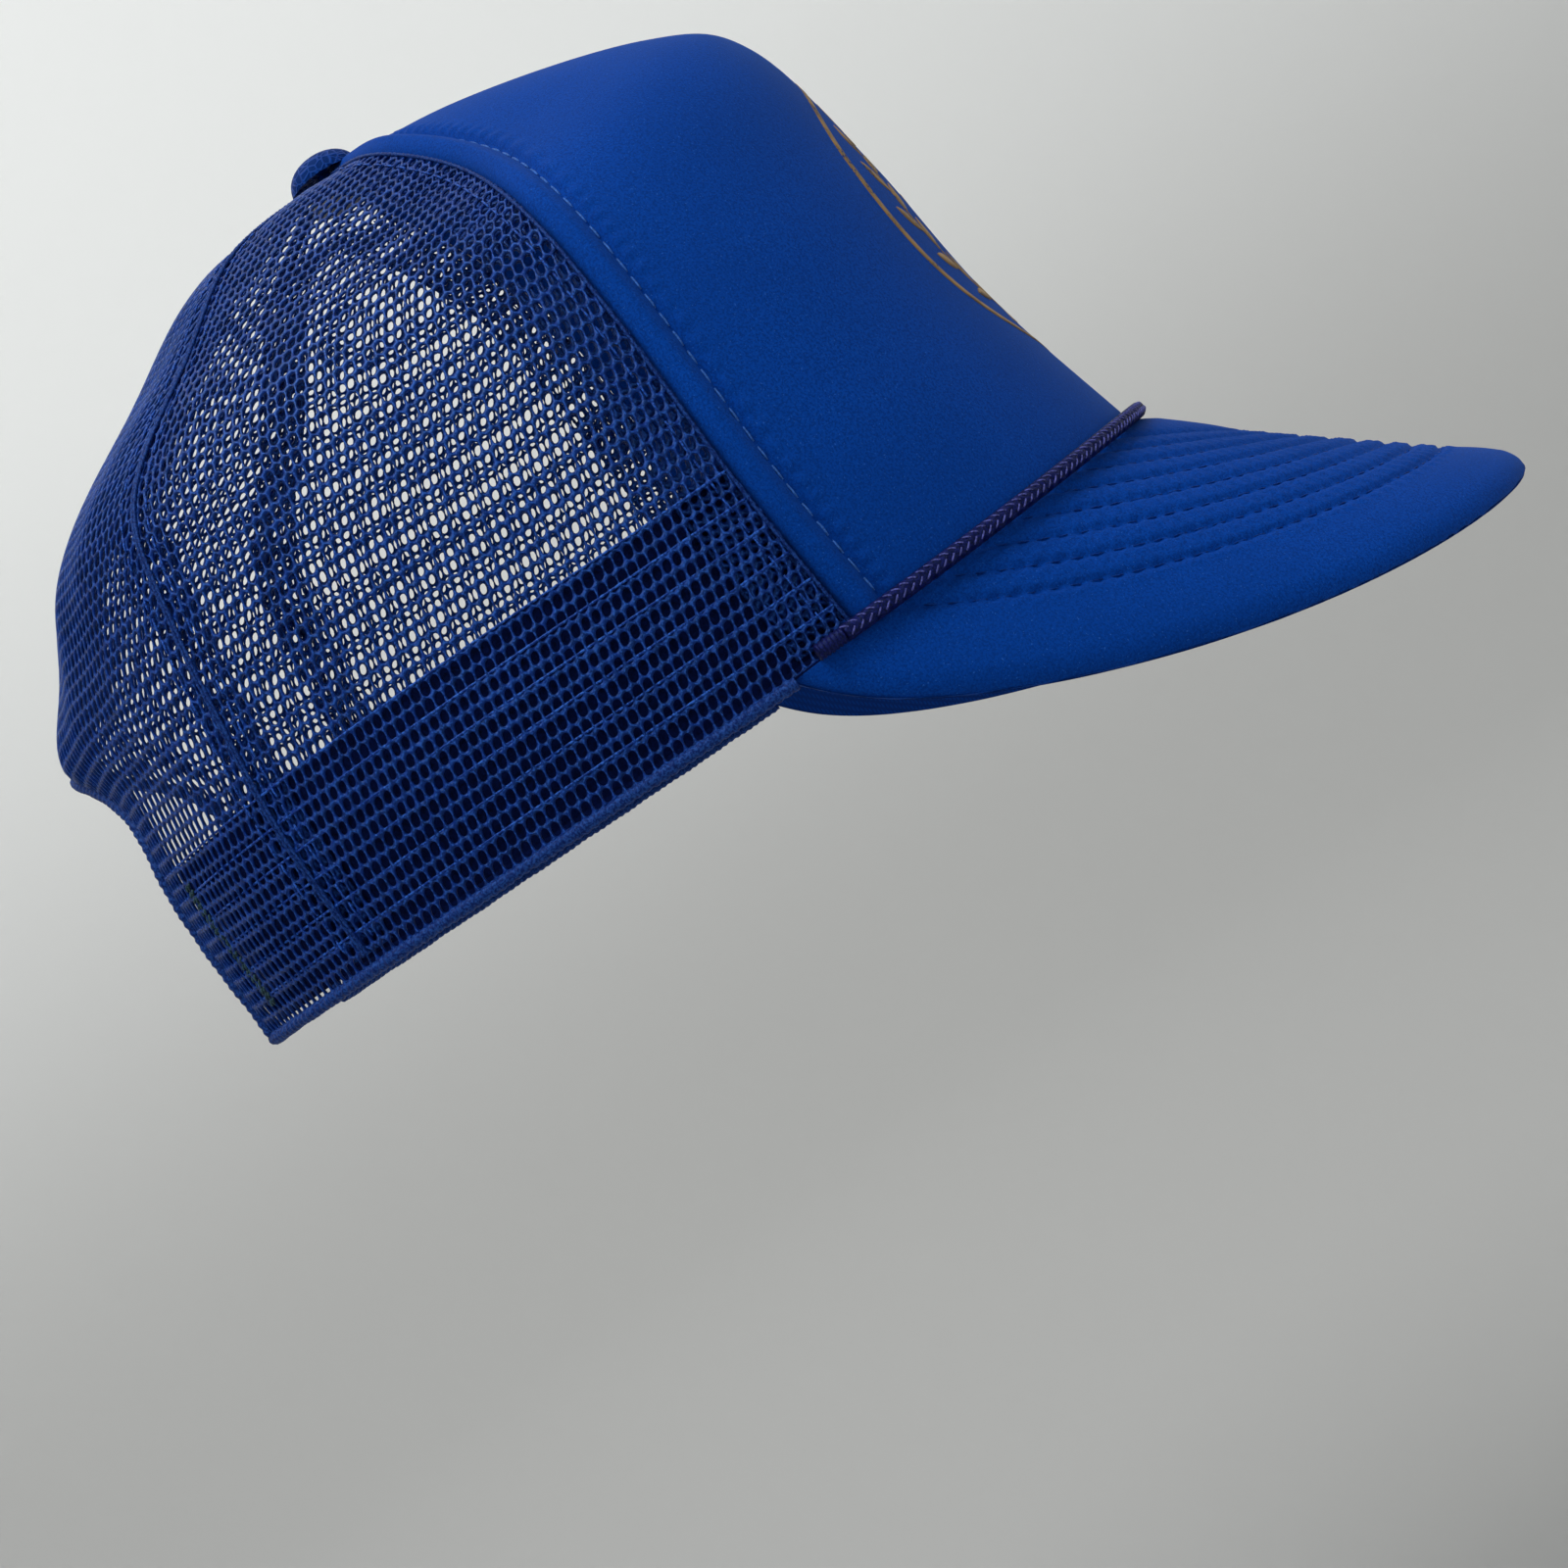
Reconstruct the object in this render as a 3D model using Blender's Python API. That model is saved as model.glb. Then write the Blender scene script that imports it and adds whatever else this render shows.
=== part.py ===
"""Trucker cap: one foam front panel, four mesh panels, a stitched curved visor and a snap strap.

Metres, +Z up. The origin is the centre of the head opening, at the level of the hem.
The visor points along -Y and the cap is symmetric about the plane X = 0.
"""

import math

import bmesh
import bpy
from mathutils import Vector

# Driving sizes -------------------------------------------------------------------------------

HEM_FRONT = 0.1026            # centre of the head opening to the front of the hem
HEM_BACK = 0.1020             # centre of the head opening to the back of the hem
HEM_SIDE = 0.0814             # half the width of the head opening
CROWN_HEIGHT = 0.1326         # hem to the top of the crown
FRONT_RISE = 0.0058           # how far the curved visor lifts the front of the hem
BACK_FULLNESS = 2.25          # exponent of the back half's outline; 2 would be an ellipse
FRONT_FULLNESS = 2.0

FRONT_SEAM_ANGLE = math.radians(72)     # foam to mesh seam, measured from the front
BACK_SEAM_ANGLE = math.radians(128)     # side to back mesh seam
SEAM_GAP = 0.0005
LAYER_GAP = 0.0004
EYELET_FREE_END = 0.984                 # how far the panels run towards the top hole

FOAM_THICKNESS = 0.0026
MESH_DEPTH = 0.0003           # the mesh lies this much under the foam's outer face
MESH_THICKNESS = 0.0010
STRIP_THICKNESS = 0.0009
FRONT_STRIP_WIDTH = 0.0110
SEAM_STRIP_WIDTH = 0.0100
STRIP_TOP = 0.90              # seam strips end before they meet at the top
BAND_HEIGHT = 0.0340
BAND_THICKNESS = 0.0016
BAND_LIFT = 0.0010            # sweatband's lower edge above the hem

ARCH_HALF_WIDTH = 0.0380
ARCH_SIDE_HEIGHT = 0.0360
ARCH_HEIGHT = 0.0630
ARCH_FLARE = 0.0090           # how far the arch's lip stands out
ARCH_FLARE_REACH = 0.0110
BINDING_RADIUS = 0.0012
BINDING_GAP = 0.0003

VISOR_LENGTH = 0.0758
VISOR_CORNER_INSET = 0.0012   # visor's corners inside the sides of the hem
VISOR_HALF_WIDTH = HEM_SIDE - VISOR_CORNER_INSET
VISOR_SLOPE = math.radians(38.1)
VISOR_SIDE_SLOPE = math.radians(11.4)   # extra slope at the visor's corners
VISOR_CORNER_SHARPNESS = 2.7
VISOR_TOP_THICKNESS = 0.0022
VISOR_BOARD_THICKNESS = 0.0014
VISOR_LINING_THICKNESS = 0.0012
VISOR_SEAM_GAP = 0.0005
BOARD_MARGIN = 0.0030         # visor covers reach this much past the board

ROPE_RADIUS = 0.0016
ROPE_SEAT_OUT = 0.00205       # rope's centre from the hem line, outwards
ROPE_SEAT_UP = 0.0011
ROPE_HALF_ANGLE = math.radians(74)
ROPE_WRAP_LENGTH = 0.0050

BUTTON_RADIUS = 0.0075
BUTTON_HEIGHT = 0.0042         # above the top of the crown
BUTTON_RIM_DROP = 0.0008       # the rim reaches down round the crown's top
BUTTON_LIFT = 0.0003
SHANK_RADIUS = 0.0014
BACKING_RADIUS = 0.0060
BACKING_THICKNESS = 0.0012
BACKING_GAP = 0.0003          # between the foam's inner face and the backing
SHANK_CLEARANCE = 0.0004

STRAP_WIDTH = 0.0180
STRAP_THICKNESS = 0.0012
STRAP_HEM_GAP = 0.0050        # strap's lower edge above the hem
STRAP_REACH = 0.0220          # how far each strap passes the middle of the opening
STRAP_DEPTH = 0.0016          # outer strap's outer face, under the crown's surface
STRAP_BOW = 0.0035            # how far the strap's middle stands out past its ends
STRAP_PAIR_GAP = 0.0004
STRAP_HINGE_GAP = 0.0014      # room for the strap's end to turn beside the binding
PEG_PITCH = 0.0085
PEG_RADIUS = 0.0017
PEG_CLEARANCE = 0.0006
PEG_STAND = 0.0008            # how far a peg's tip passes the outer strap
PEG_MARGIN = 0.0040           # from a strap's end to the nearest peg or hole
STRAP_TAB_LENGTH = 0.0120
STRAP_TAB_THICKNESS = 0.0010
STRAP_TAB_GAP = 0.00035

# Profiles from the hem to the top, as shares of the hem's half length and the crown's height.
FRONT_PROFILE = [(1, 0), (0.908, 0.290), (0.864, 0.554), (0.800, 0.783),
                 (0.664, 0.879), (0.322, 0.962), (0, 1)]
SIDE_PROFILE = [(1, 0), (1.022, 0.218), (0.981, 0.488), (0.878, 0.658),
                (0.623, 0.800), (0.347, 0.927), (0, 1)]
BACK_PROFILE = [(1, 0), (1.002, 0.243), (0.940, 0.456), (0.866, 0.661),
                (0.560, 0.837), (0.325, 0.941), (0, 1)]

PANEL_ROWS = 20
FRONT_COLUMNS = 24
SIDE_COLUMNS = 10
BACK_COLUMNS = 4              # between the side seam and the arch
ARCH_COLUMNS = 7              # over each half of the arch
BAND_ROWS = 3
VISOR_COLUMNS = 28
VISOR_ROWS = 6

BLUE = (0.010, 0.075, 0.36)
NAVY = (0.012, 0.022, 0.075)
CLEAR_BLUE = (0.020, 0.050, 0.20)
BOARD_WHITE = (0.62, 0.62, 0.60)
METAL = (0.60, 0.60, 0.60)


# Small helpers -------------------------------------------------------------------------------

def clear_scene():
    for item in list(bpy.data.objects):
        bpy.data.objects.remove(item, do_unlink=True)


def material(name, colour, roughness, metallic=0.0):
    made = bpy.data.materials.get(name)
    if made is None:
        made = bpy.data.materials.new(name)
        made.use_nodes = True
        shader = made.node_tree.nodes["Principled BSDF"]
        shader.inputs["Base Color"].default_value = (*colour, 1.0)
        shader.inputs["Roughness"].default_value = roughness
        shader.inputs["Metallic"].default_value = metallic
    return made


def place(name, mesh_or_curve, finish):
    made = bpy.data.objects.new(name, mesh_or_curve)
    bpy.context.scene.collection.objects.link(made)
    mesh_or_curve.materials.append(finish)
    return made


def from_bmesh(name, bm, finish):
    bmesh.ops.recalc_face_normals(bm, faces=bm.faces)
    mesh = bpy.data.meshes.new(name)
    bm.to_mesh(mesh)
    bm.free()
    return place(name, mesh, finish)


def mix(a, b, share):
    return a + (b - a) * share


def signed_power(value, exponent):
    return math.copysign(abs(value) ** exponent, value)


def along(points, share):
    """Point at a share from 0 to 1 of the smooth curve through the points."""
    last = len(points) - 1
    at = min(max(share, 0.0), 1.0) * last
    i = min(int(at), last - 1)
    t = at - i
    p1 = Vector(points[i])
    p2 = Vector(points[i + 1])
    p0 = Vector(points[i - 1]) if i > 0 else 2 * p1 - p2
    p3 = Vector(points[i + 2]) if i + 2 <= last else 2 * p2 - p1
    return 0.5 * (2 * p1 + (p2 - p0) * t + (2 * p0 - 5 * p1 + 4 * p2 - p3) * t * t
                  + (3 * p1 - p0 - 3 * p2 + p3) * t ** 3)


# The crown's surface ---------------------------------------------------------------------------

def crown_point(angle, share):
    """Outer surface at an angle from the front and a share of the way from the hem to the top."""
    facing = math.cos(angle)
    if facing >= 0:
        reach, profile, fullness = HEM_FRONT, FRONT_PROFILE, FRONT_FULLNESS
    else:
        reach, profile, fullness = HEM_BACK, BACK_PROFILE, BACK_FULLNESS
    end = along(profile, share)
    side = along(SIDE_PROFILE, share)
    x = HEM_SIDE * side.x * signed_power(math.sin(angle), 2 / fullness)
    y = -reach * end.x * signed_power(facing, 2 / fullness)
    z = CROWN_HEIGHT * mix(side.y, end.y, facing ** 2)
    z += FRONT_RISE * max(facing, 0) ** 2 * max(1 - 2 * share, 0) ** 2
    lip = math.exp(-((z - ARCH_HEIGHT) / ARCH_FLARE_REACH) ** 2)
    y += ARCH_FLARE * lip * max(-facing, 0) ** 6
    return Vector((x, y, z))


def crown_normal(angle, share):
    step = 0.002
    across = crown_point(angle + step, share) - crown_point(angle - step, share)
    up = crown_point(angle, share + step) - crown_point(angle, share - step)
    return across.cross(up).normalized()


def under_crown(angle, share, depth):
    return crown_point(angle, share) - crown_normal(angle, share) * depth


def turn_for(angle, share, width):
    """Angle that spans a width along the crown, no more than an eighth of a turn."""
    step = 0.01
    reach = (crown_point(angle + step, share) - crown_point(angle - step, share)).length
    return min(width * 2 * step / reach, math.pi / 4)


def share_at_height(angle, height):
    """Share at which the crown reaches a height above the hem line at this angle."""
    low, high = 0.0, 0.9
    wanted = height + crown_point(angle, 0).z
    for _ in range(30):
        middle = (low + high) / 2
        if crown_point(angle, middle).z < wanted:
            low = middle
        else:
            high = middle
    return low


def angle_at_width(width, share):
    """Angle on the back half at which the crown is this far from the middle."""
    reach = HEM_SIDE * along(SIDE_PROFILE, share).x
    ratio = min(abs(width) / reach, 1.0) ** (BACK_FULLNESS / 2)
    return math.pi - math.asin(ratio)


def arch_edge(turn, inset):
    """Angle and share on the arch's edge; turn runs from 0 at the side to pi / 2 at the top."""
    width = (ARCH_HALF_WIDTH - inset) * math.cos(turn)
    height = mix(ARCH_SIDE_HEIGHT, ARCH_HEIGHT - inset, math.sin(turn))
    share = 0.2
    for _ in range(12):
        angle = angle_at_width(width, share)
        share = share_at_height(angle, height)
    return angle, share


# Thick sheets ----------------------------------------------------------------------------------

def thick_sheet(name, columns, outer, inner, finish):
    """Closed solid between two surfaces; columns hold parameter pairs, or None where it is cut."""
    bm = bmesh.new()
    front, back = {}, {}
    for i, column in enumerate(columns):
        for j, pair in enumerate(column):
            if pair is not None:
                front[i, j] = bm.verts.new(outer(*pair))
                back[i, j] = bm.verts.new(inner(*pair))
    edges = {}
    for i in range(len(columns) - 1):
        for j in range(len(columns[0]) - 1):
            ring = [(i, j), (i + 1, j), (i + 1, j + 1), (i, j + 1)]
            if all(key in front for key in ring):
                bm.faces.new([front[key] for key in ring])
                bm.faces.new([back[key] for key in reversed(ring)])
                for a, b in zip(ring, ring[1:] + ring[:1]):
                    edges[a, b] = True
    for a, b in edges:
        if (b, a) not in edges:
            bm.faces.new([front[b], front[a], back[a], back[b]])
    return from_bmesh(name, bm, finish)


def crown_sheet(name, columns, depth, thickness, finish):
    def outer(angle, share):
        return under_crown(angle, share, depth)

    def inner(angle, share):
        return under_crown(angle, share, depth + thickness)

    return thick_sheet(name, columns, outer, inner, finish)


def panel_rows():
    return [EYELET_FREE_END * j / PANEL_ROWS for j in range(PANEL_ROWS + 1)]


def between_seams(start, end, count, rows):
    """Columns of a panel between two seam angles, with half a seam gap at each."""
    columns = []
    for i in range(count + 1):
        column = []
        for share in rows:
            low = start + turn_for(start, share, SEAM_GAP / 2)
            high = end - turn_for(end, share, SEAM_GAP / 2)
            column.append((mix(low, high, i / count), share))
        columns.append(column)
    return columns


def mirrored(columns, side):
    return [[pair and (side * pair[0], pair[1]) for pair in column] for column in columns]


# Crown pieces ----------------------------------------------------------------------------------

def make_front_panel():
    foam = material("front_foam", BLUE, 0.85)
    columns = between_seams(-FRONT_SEAM_ANGLE, FRONT_SEAM_ANGLE, FRONT_COLUMNS, panel_rows())
    crown_sheet("front_panel", columns, 0, FOAM_THICKNESS, foam)


def make_side_panel(name, side):
    mesh = material("crown_mesh", BLUE, 0.55)
    columns = between_seams(FRONT_SEAM_ANGLE, BACK_SEAM_ANGLE, SIDE_COLUMNS, panel_rows())
    crown_sheet(name, mirrored(columns, side), MESH_DEPTH, MESH_THICKNESS, mesh)


def back_panel_columns():
    """Columns of half the back, which is cut away under the arch."""
    inset = -BINDING_GAP
    corner_angle, corner_share = arch_edge(0, inset)
    rows = panel_rows()
    cut = min(range(1, len(rows) - 1), key=lambda j: abs(rows[j] - corner_share))
    columns = []
    for i in range(BACK_COLUMNS + 1):
        column = []
        for j in range(len(rows)):
            share = corner_share * j / cut
            if j > cut:
                share = mix(corner_share, rows[-1], (j - cut) / (len(rows) - 1 - cut))
            low = BACK_SEAM_ANGLE + turn_for(BACK_SEAM_ANGLE, share, SEAM_GAP / 2)
            edge = corner_angle
            if j < cut:
                edge = angle_at_width(ARCH_HALF_WIDTH - inset, share)
            column.append((mix(low, edge, i / BACK_COLUMNS), share))
        columns.append(column)
    for i in range(1, ARCH_COLUMNS + 1):
        angle, start = arch_edge(math.pi / 2 * i / ARCH_COLUMNS, inset)
        column = [None] * cut
        for j in range(cut, len(rows)):
            share = mix(start, rows[-1], (j - cut) / (len(rows) - 1 - cut))
            middle = math.pi - turn_for(math.pi, share, SEAM_GAP / 2)
            column.append((min(mix(angle, middle, i == ARCH_COLUMNS), middle), share))
        columns.append(column)
    return columns


def make_back_panel(name, side):
    mesh = material("crown_mesh", BLUE, 0.55)
    crown_sheet(name, mirrored(back_panel_columns(), side), MESH_DEPTH, MESH_THICKNESS, mesh)


def seam_strip(name, angle, start, end, first_share, side):
    """Folded mesh strip sewn along the inside of a seam, between two widths from it."""
    columns = []
    for width in (start, (start + end) / 2, end):
        column = []
        for j in range(PANEL_ROWS - 2):
            share = mix(first_share, STRIP_TOP, j / (PANEL_ROWS - 3))
            offset = math.copysign(turn_for(angle, share, abs(width)), width)
            column.append((side * (angle + offset), share))
        columns.append(column)
    depth = MESH_DEPTH + MESH_THICKNESS + LAYER_GAP
    crown_sheet(name, columns, depth, STRIP_THICKNESS, material("mesh_strip", BLUE, 0.6))


def make_seam_strips(side, hand):
    seam_strip("front_seam_strip_" + hand, FRONT_SEAM_ANGLE, SEAM_GAP, FRONT_STRIP_WIDTH,
               0.01, side)
    half = SEAM_STRIP_WIDTH / 2
    seam_strip("side_seam_strip_" + hand, BACK_SEAM_ANGLE, -half, half, 0.01, side)


def make_back_seam_strip():
    half = SEAM_STRIP_WIDTH / 2
    start = arch_edge(math.pi / 2, -BINDING_GAP)[1]
    seam_strip("back_seam_strip", math.pi, -half, half, start, 1)


def make_sweatband():
    depth = MESH_DEPTH + MESH_THICKNESS + LAYER_GAP + STRIP_THICKNESS + LAYER_GAP
    depth = max(depth, FOAM_THICKNESS + LAYER_GAP)
    end = angle_at_width(ARCH_HALF_WIDTH + BINDING_GAP, 0.1)
    count = 2 * (FRONT_COLUMNS // 2 + SIDE_COLUMNS + BACK_COLUMNS) - 4
    columns = []
    for i in range(count + 1):
        angle = mix(-end, end, i / count)
        top = share_at_height(angle, BAND_HEIGHT)
        bottom = share_at_height(angle, BAND_LIFT)
        columns.append([(angle, mix(bottom, top, j / BAND_ROWS)) for j in range(BAND_ROWS + 1)])
    crown_sheet("sweatband", columns, depth, BAND_THICKNESS, material("sweatband", NAVY, 0.9))


# Cords and bindings ----------------------------------------------------------------------------

def tube(name, points, radius, finish):
    curve = bpy.data.curves.new(name, "CURVE")
    curve.dimensions = "3D"
    curve.bevel_depth = radius
    curve.bevel_resolution = 2
    curve.use_fill_caps = True
    line = curve.splines.new("POLY")
    line.points.add(len(points) - 1)
    for point, where in zip(line.points, points):
        point.co = (*where, 1.0)
    return place(name, curve, finish)


def make_hem_binding(name, side):
    """Bound edge of the mesh, from the visor's corner to the arch."""
    corner = math.asin(min(VISOR_HALF_WIDTH / HEM_SIDE, 1.0))
    start = corner + turn_for(corner, 0, 2 * BINDING_RADIUS)
    end = angle_at_width(ARCH_HALF_WIDTH + BINDING_RADIUS, 0)
    count = 22
    points = []
    for i in range(count + 1):
        angle = side * mix(start, end, i / count)
        seat = under_crown(angle, 0, MESH_DEPTH + MESH_THICKNESS / 2)
        points.append(seat - Vector((0, 0, BINDING_RADIUS + BINDING_GAP)))
    tube(name, points, BINDING_RADIUS, material("edge_binding", BLUE, 0.7))


def make_arch_binding():
    inset = BINDING_RADIUS
    middle = MESH_DEPTH + MESH_THICKNESS / 2
    half = []
    for i in range(7):
        share = arch_edge(0, inset)[1] * i / 7
        half.append((angle_at_width(ARCH_HALF_WIDTH - inset, share), share))
    half += [arch_edge(math.pi / 2 * i / 12, inset) for i in range(13)]
    mirror = [(-angle, share) for angle, share in reversed(half[:-1])]
    points = [under_crown(angle, share, middle) for angle, share in half + mirror]
    tube("arch_binding", points, BINDING_RADIUS, material("edge_binding", BLUE, 0.7))


def rope_point(angle):
    seat = crown_point(angle, 0)
    out = crown_normal(angle, 0)
    out.z = 0
    return seat + out.normalized() * ROPE_SEAT_OUT + Vector((0, 0, ROPE_SEAT_UP))


def make_brim_rope():
    count = 52
    rope = material("brim_rope", NAVY, 0.5)
    points = [rope_point(mix(-ROPE_HALF_ANGLE, ROPE_HALF_ANGLE, i / count))
              for i in range(count + 1)]
    tube("brim_rope", points, ROPE_RADIUS, rope)
    for hand, side in (("right", -1), ("left", 1)):
        start = ROPE_HALF_ANGLE + turn_for(ROPE_HALF_ANGLE, 0, BINDING_GAP)
        end = start + turn_for(start, 0, ROPE_WRAP_LENGTH)
        wrap = [rope_point(side * mix(start, end, i / 3)) for i in range(4)]
        tube("rope_end_wrap_" + hand, wrap, ROPE_RADIUS, material("rope_wrap", NAVY, 0.6))


# Visor -----------------------------------------------------------------------------------------

def hem_line(x):
    """Front of the hem at a distance from the middle."""
    share = min(abs(x) / HEM_SIDE, 1.0)
    facing = math.sqrt(1 - share ** 2)
    return Vector((x, -HEM_FRONT * facing, FRONT_RISE * facing ** 2))


def visor_reach(x, margin):
    share = min(abs(x) / (VISOR_HALF_WIDTH - margin), 1.0)
    return (VISOR_LENGTH - margin) * (1 - share ** VISOR_CORNER_SHARPNESS) ** (
        1 / VISOR_CORNER_SHARPNESS)


def visor_top(x, reach):
    slope = VISOR_SLOPE + VISOR_SIDE_SLOPE * (x / VISOR_HALF_WIDTH) ** 2
    return hem_line(x) + reach * Vector((0, -math.cos(slope), -math.sin(slope)))


def visor_point(x, reach, depth):
    step = 0.0005
    across = visor_top(x + step, reach) - visor_top(x - step, reach)
    ahead = visor_top(x, reach + step) - visor_top(x, reach - step)
    return visor_top(x, reach) + across.cross(ahead).normalized() * depth


def visor_layer(name, depth, thickness, margin, finish):
    width = VISOR_HALF_WIDTH - margin - 0.0008
    columns = []
    for i in range(VISOR_COLUMNS + 1):
        x = width * math.sin(mix(-math.pi / 2, math.pi / 2, i / VISOR_COLUMNS))
        far = max(visor_reach(x, margin), VISOR_SEAM_GAP + 0.004)
        columns.append([(x, mix(VISOR_SEAM_GAP, far, j / VISOR_ROWS))
                        for j in range(VISOR_ROWS + 1)])

    def outer(x, reach):
        return visor_point(x, reach, depth)

    def inner(x, reach):
        return visor_point(x, reach, depth + thickness)

    thick_sheet(name, columns, outer, inner, finish)


def make_visor():
    board_depth = VISOR_TOP_THICKNESS + LAYER_GAP
    lining_depth = board_depth + VISOR_BOARD_THICKNESS + LAYER_GAP
    visor_layer("visor_top_cover", 0, VISOR_TOP_THICKNESS, 0, material("visor_foam", BLUE, 0.85))
    visor_layer("visor_board", board_depth, VISOR_BOARD_THICKNESS, BOARD_MARGIN,
                material("visor_board", BOARD_WHITE, 0.6))
    visor_layer("visor_bottom_cover", lining_depth, VISOR_LINING_THICKNESS, 0,
                material("visor_lining", BLUE, 0.8))


# Button ----------------------------------------------------------------------------------------

def turned(name, profile, finish, sides=20):
    """Solid of revolution about Z; the profile's points are (radius, height)."""
    bm = bmesh.new()
    points = [bm.verts.new((radius, 0, height)) for radius, height in profile]
    pairs = list(zip(points, points[1:]))
    if profile[0][0] > 0:
        pairs.append((points[-1], points[0]))
    edges = [bm.edges.new(pair) for pair in pairs]
    bmesh.ops.spin(bm, geom=points + edges, axis=(0, 0, 1), cent=(0, 0, 0), steps=sides,
                   angle=math.tau, use_merge=True)
    bmesh.ops.remove_doubles(bm, verts=bm.verts, dist=0.00001)
    return from_bmesh(name, bm, finish)


def height_under_foam(angle, radius):
    """Height of the foam's inner face at a radius from the middle of the crown's top."""
    low, high = 0.5, 0.999
    for _ in range(30):
        middle = (low + high) / 2
        seat = under_crown(angle, middle, FOAM_THICKNESS)
        if math.hypot(seat.x, seat.y) > radius:
            low = middle
        else:
            high = middle
    return under_crown(angle, low, FOAM_THICKNESS).z


def backing_top():
    """Upper face of the backing, under the lowest foam within its radius."""
    angles = [FRONT_SEAM_ANGLE * i / 4 for i in range(5)]
    return min(height_under_foam(angle, BACKING_RADIUS) for angle in angles) - BACKING_GAP


def make_top_button():
    seat = CROWN_HEIGHT + BUTTON_LIFT
    rim = CROWN_HEIGHT - BUTTON_RIM_DROP
    top = CROWN_HEIGHT + BUTTON_HEIGHT
    end = backing_top() - BACKING_THICKNESS - SHANK_CLEARANCE
    turns = [math.pi / 2 * i / 5 for i in range(5)]
    dome = [(BUTTON_RADIUS * math.cos(turn), mix(rim, top, math.sin(turn))) for turn in turns]
    profile = [(0, end), (SHANK_RADIUS, end), (SHANK_RADIUS, seat)] + dome + [(0, top)]
    turned("top_button", profile, material("button_cover", BLUE, 0.8))


def make_button_backing():
    top = backing_top()
    bottom = top - BACKING_THICKNESS
    hole = SHANK_RADIUS + SHANK_CLEARANCE
    profile = [(hole, bottom), (BACKING_RADIUS, bottom), (BACKING_RADIUS, top), (hole, top)]
    turned("button_backing", profile, material("button_metal", METAL, 0.35, 1.0))


# Snap strap ------------------------------------------------------------------------------------

def strap_half_length():
    return ARCH_HALF_WIDTH - 2 * BINDING_RADIUS - STRAP_HINGE_GAP


def strap_line(x, depth):
    """Point of the strap's path across the opening, at the level of the hem."""
    angle = angle_at_width(ARCH_HALF_WIDTH, 0)
    share = share_at_height(angle, STRAP_HEM_GAP + STRAP_WIDTH / 2)
    seat = crown_point(angle_at_width(ARCH_HALF_WIDTH, share), share).y
    return Vector((x, seat - depth + STRAP_BOW * (1 - (x / strap_half_length()) ** 2), 0))


def strap_solid(name, x_from, x_to, depth, finish):
    """Flat curved strap between two places across the opening."""
    low = STRAP_HEM_GAP
    high = low + STRAP_WIDTH
    count = max(2, round(abs(x_to - x_from) / 0.005))
    columns = [[(mix(x_from, x_to, i / count), z) for z in (low, high)]
               for i in range(count + 1)]

    def outer(x, z):
        return strap_line(x, depth) + Vector((0, 0, z))

    def inner(x, z):
        return strap_line(x, depth + STRAP_THICKNESS) + Vector((0, 0, z))

    return thick_sheet(name, columns, outer, inner, finish)


def peg_places(low, high):
    """Every multiple of the pitch between two places across the opening."""
    first = math.ceil((low + PEG_MARGIN) / PEG_PITCH)
    last = math.floor((high - PEG_MARGIN) / PEG_PITCH)
    return [i * PEG_PITCH for i in range(first, last + 1)]


def peg_set(name, places, radius, start_depth, end_depth, finish):
    """Round pegs along the strap's middle, each square to the strap where it stands."""
    bm = bmesh.new()
    height = STRAP_HEM_GAP + STRAP_WIDTH / 2
    for x in places:
        base = strap_line(x, start_depth) + Vector((0, 0, height))
        tip = strap_line(x, end_depth) + Vector((0, 0, height))
        direction = (strap_line(x + 0.001, 0) - strap_line(x - 0.001, 0)).normalized()
        out = direction.cross(Vector((0, 0, 1)))
        if out.y < 0:
            out.negate()
        turn = out.to_track_quat("Z", "Y").to_matrix().to_4x4()
        turn.translation = (base + tip) / 2
        bmesh.ops.create_cone(bm, cap_ends=True, segments=10, radius1=radius, radius2=radius,
                              depth=(tip - base).length, matrix=turn)
    return from_bmesh(name, bm, finish)


def cut_or_join(target, tool, operation):
    tool.hide_render = True
    tool.display_type = "WIRE"
    step = target.modifiers.new(operation.lower(), "BOOLEAN")
    step.operation = operation
    step.solver = "EXACT"
    step.object = tool


def make_strap():
    plastic = material("strap_plastic", CLEAR_BLUE, 0.35)
    inner_depth = STRAP_DEPTH + STRAP_THICKNESS + STRAP_PAIR_GAP
    edge = strap_half_length()
    holes_strap = strap_solid("strap_with_holes", -edge, STRAP_REACH, STRAP_DEPTH, plastic)
    holes = peg_set("hole_cutter", peg_places(-edge, STRAP_REACH), PEG_RADIUS + PEG_CLEARANCE,
                    STRAP_DEPTH - STRAP_THICKNESS, STRAP_DEPTH + 2 * STRAP_THICKNESS, plastic)
    cut_or_join(holes_strap, holes, "DIFFERENCE")
    pegs_strap = strap_solid("strap_with_pegs", edge, -STRAP_REACH, inner_depth, plastic)
    pegs = peg_set("peg_tool", peg_places(-STRAP_REACH, edge), PEG_RADIUS,
                   STRAP_DEPTH - PEG_STAND, inner_depth + STRAP_THICKNESS / 2, plastic)
    cut_or_join(pegs_strap, pegs, "UNION")


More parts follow.
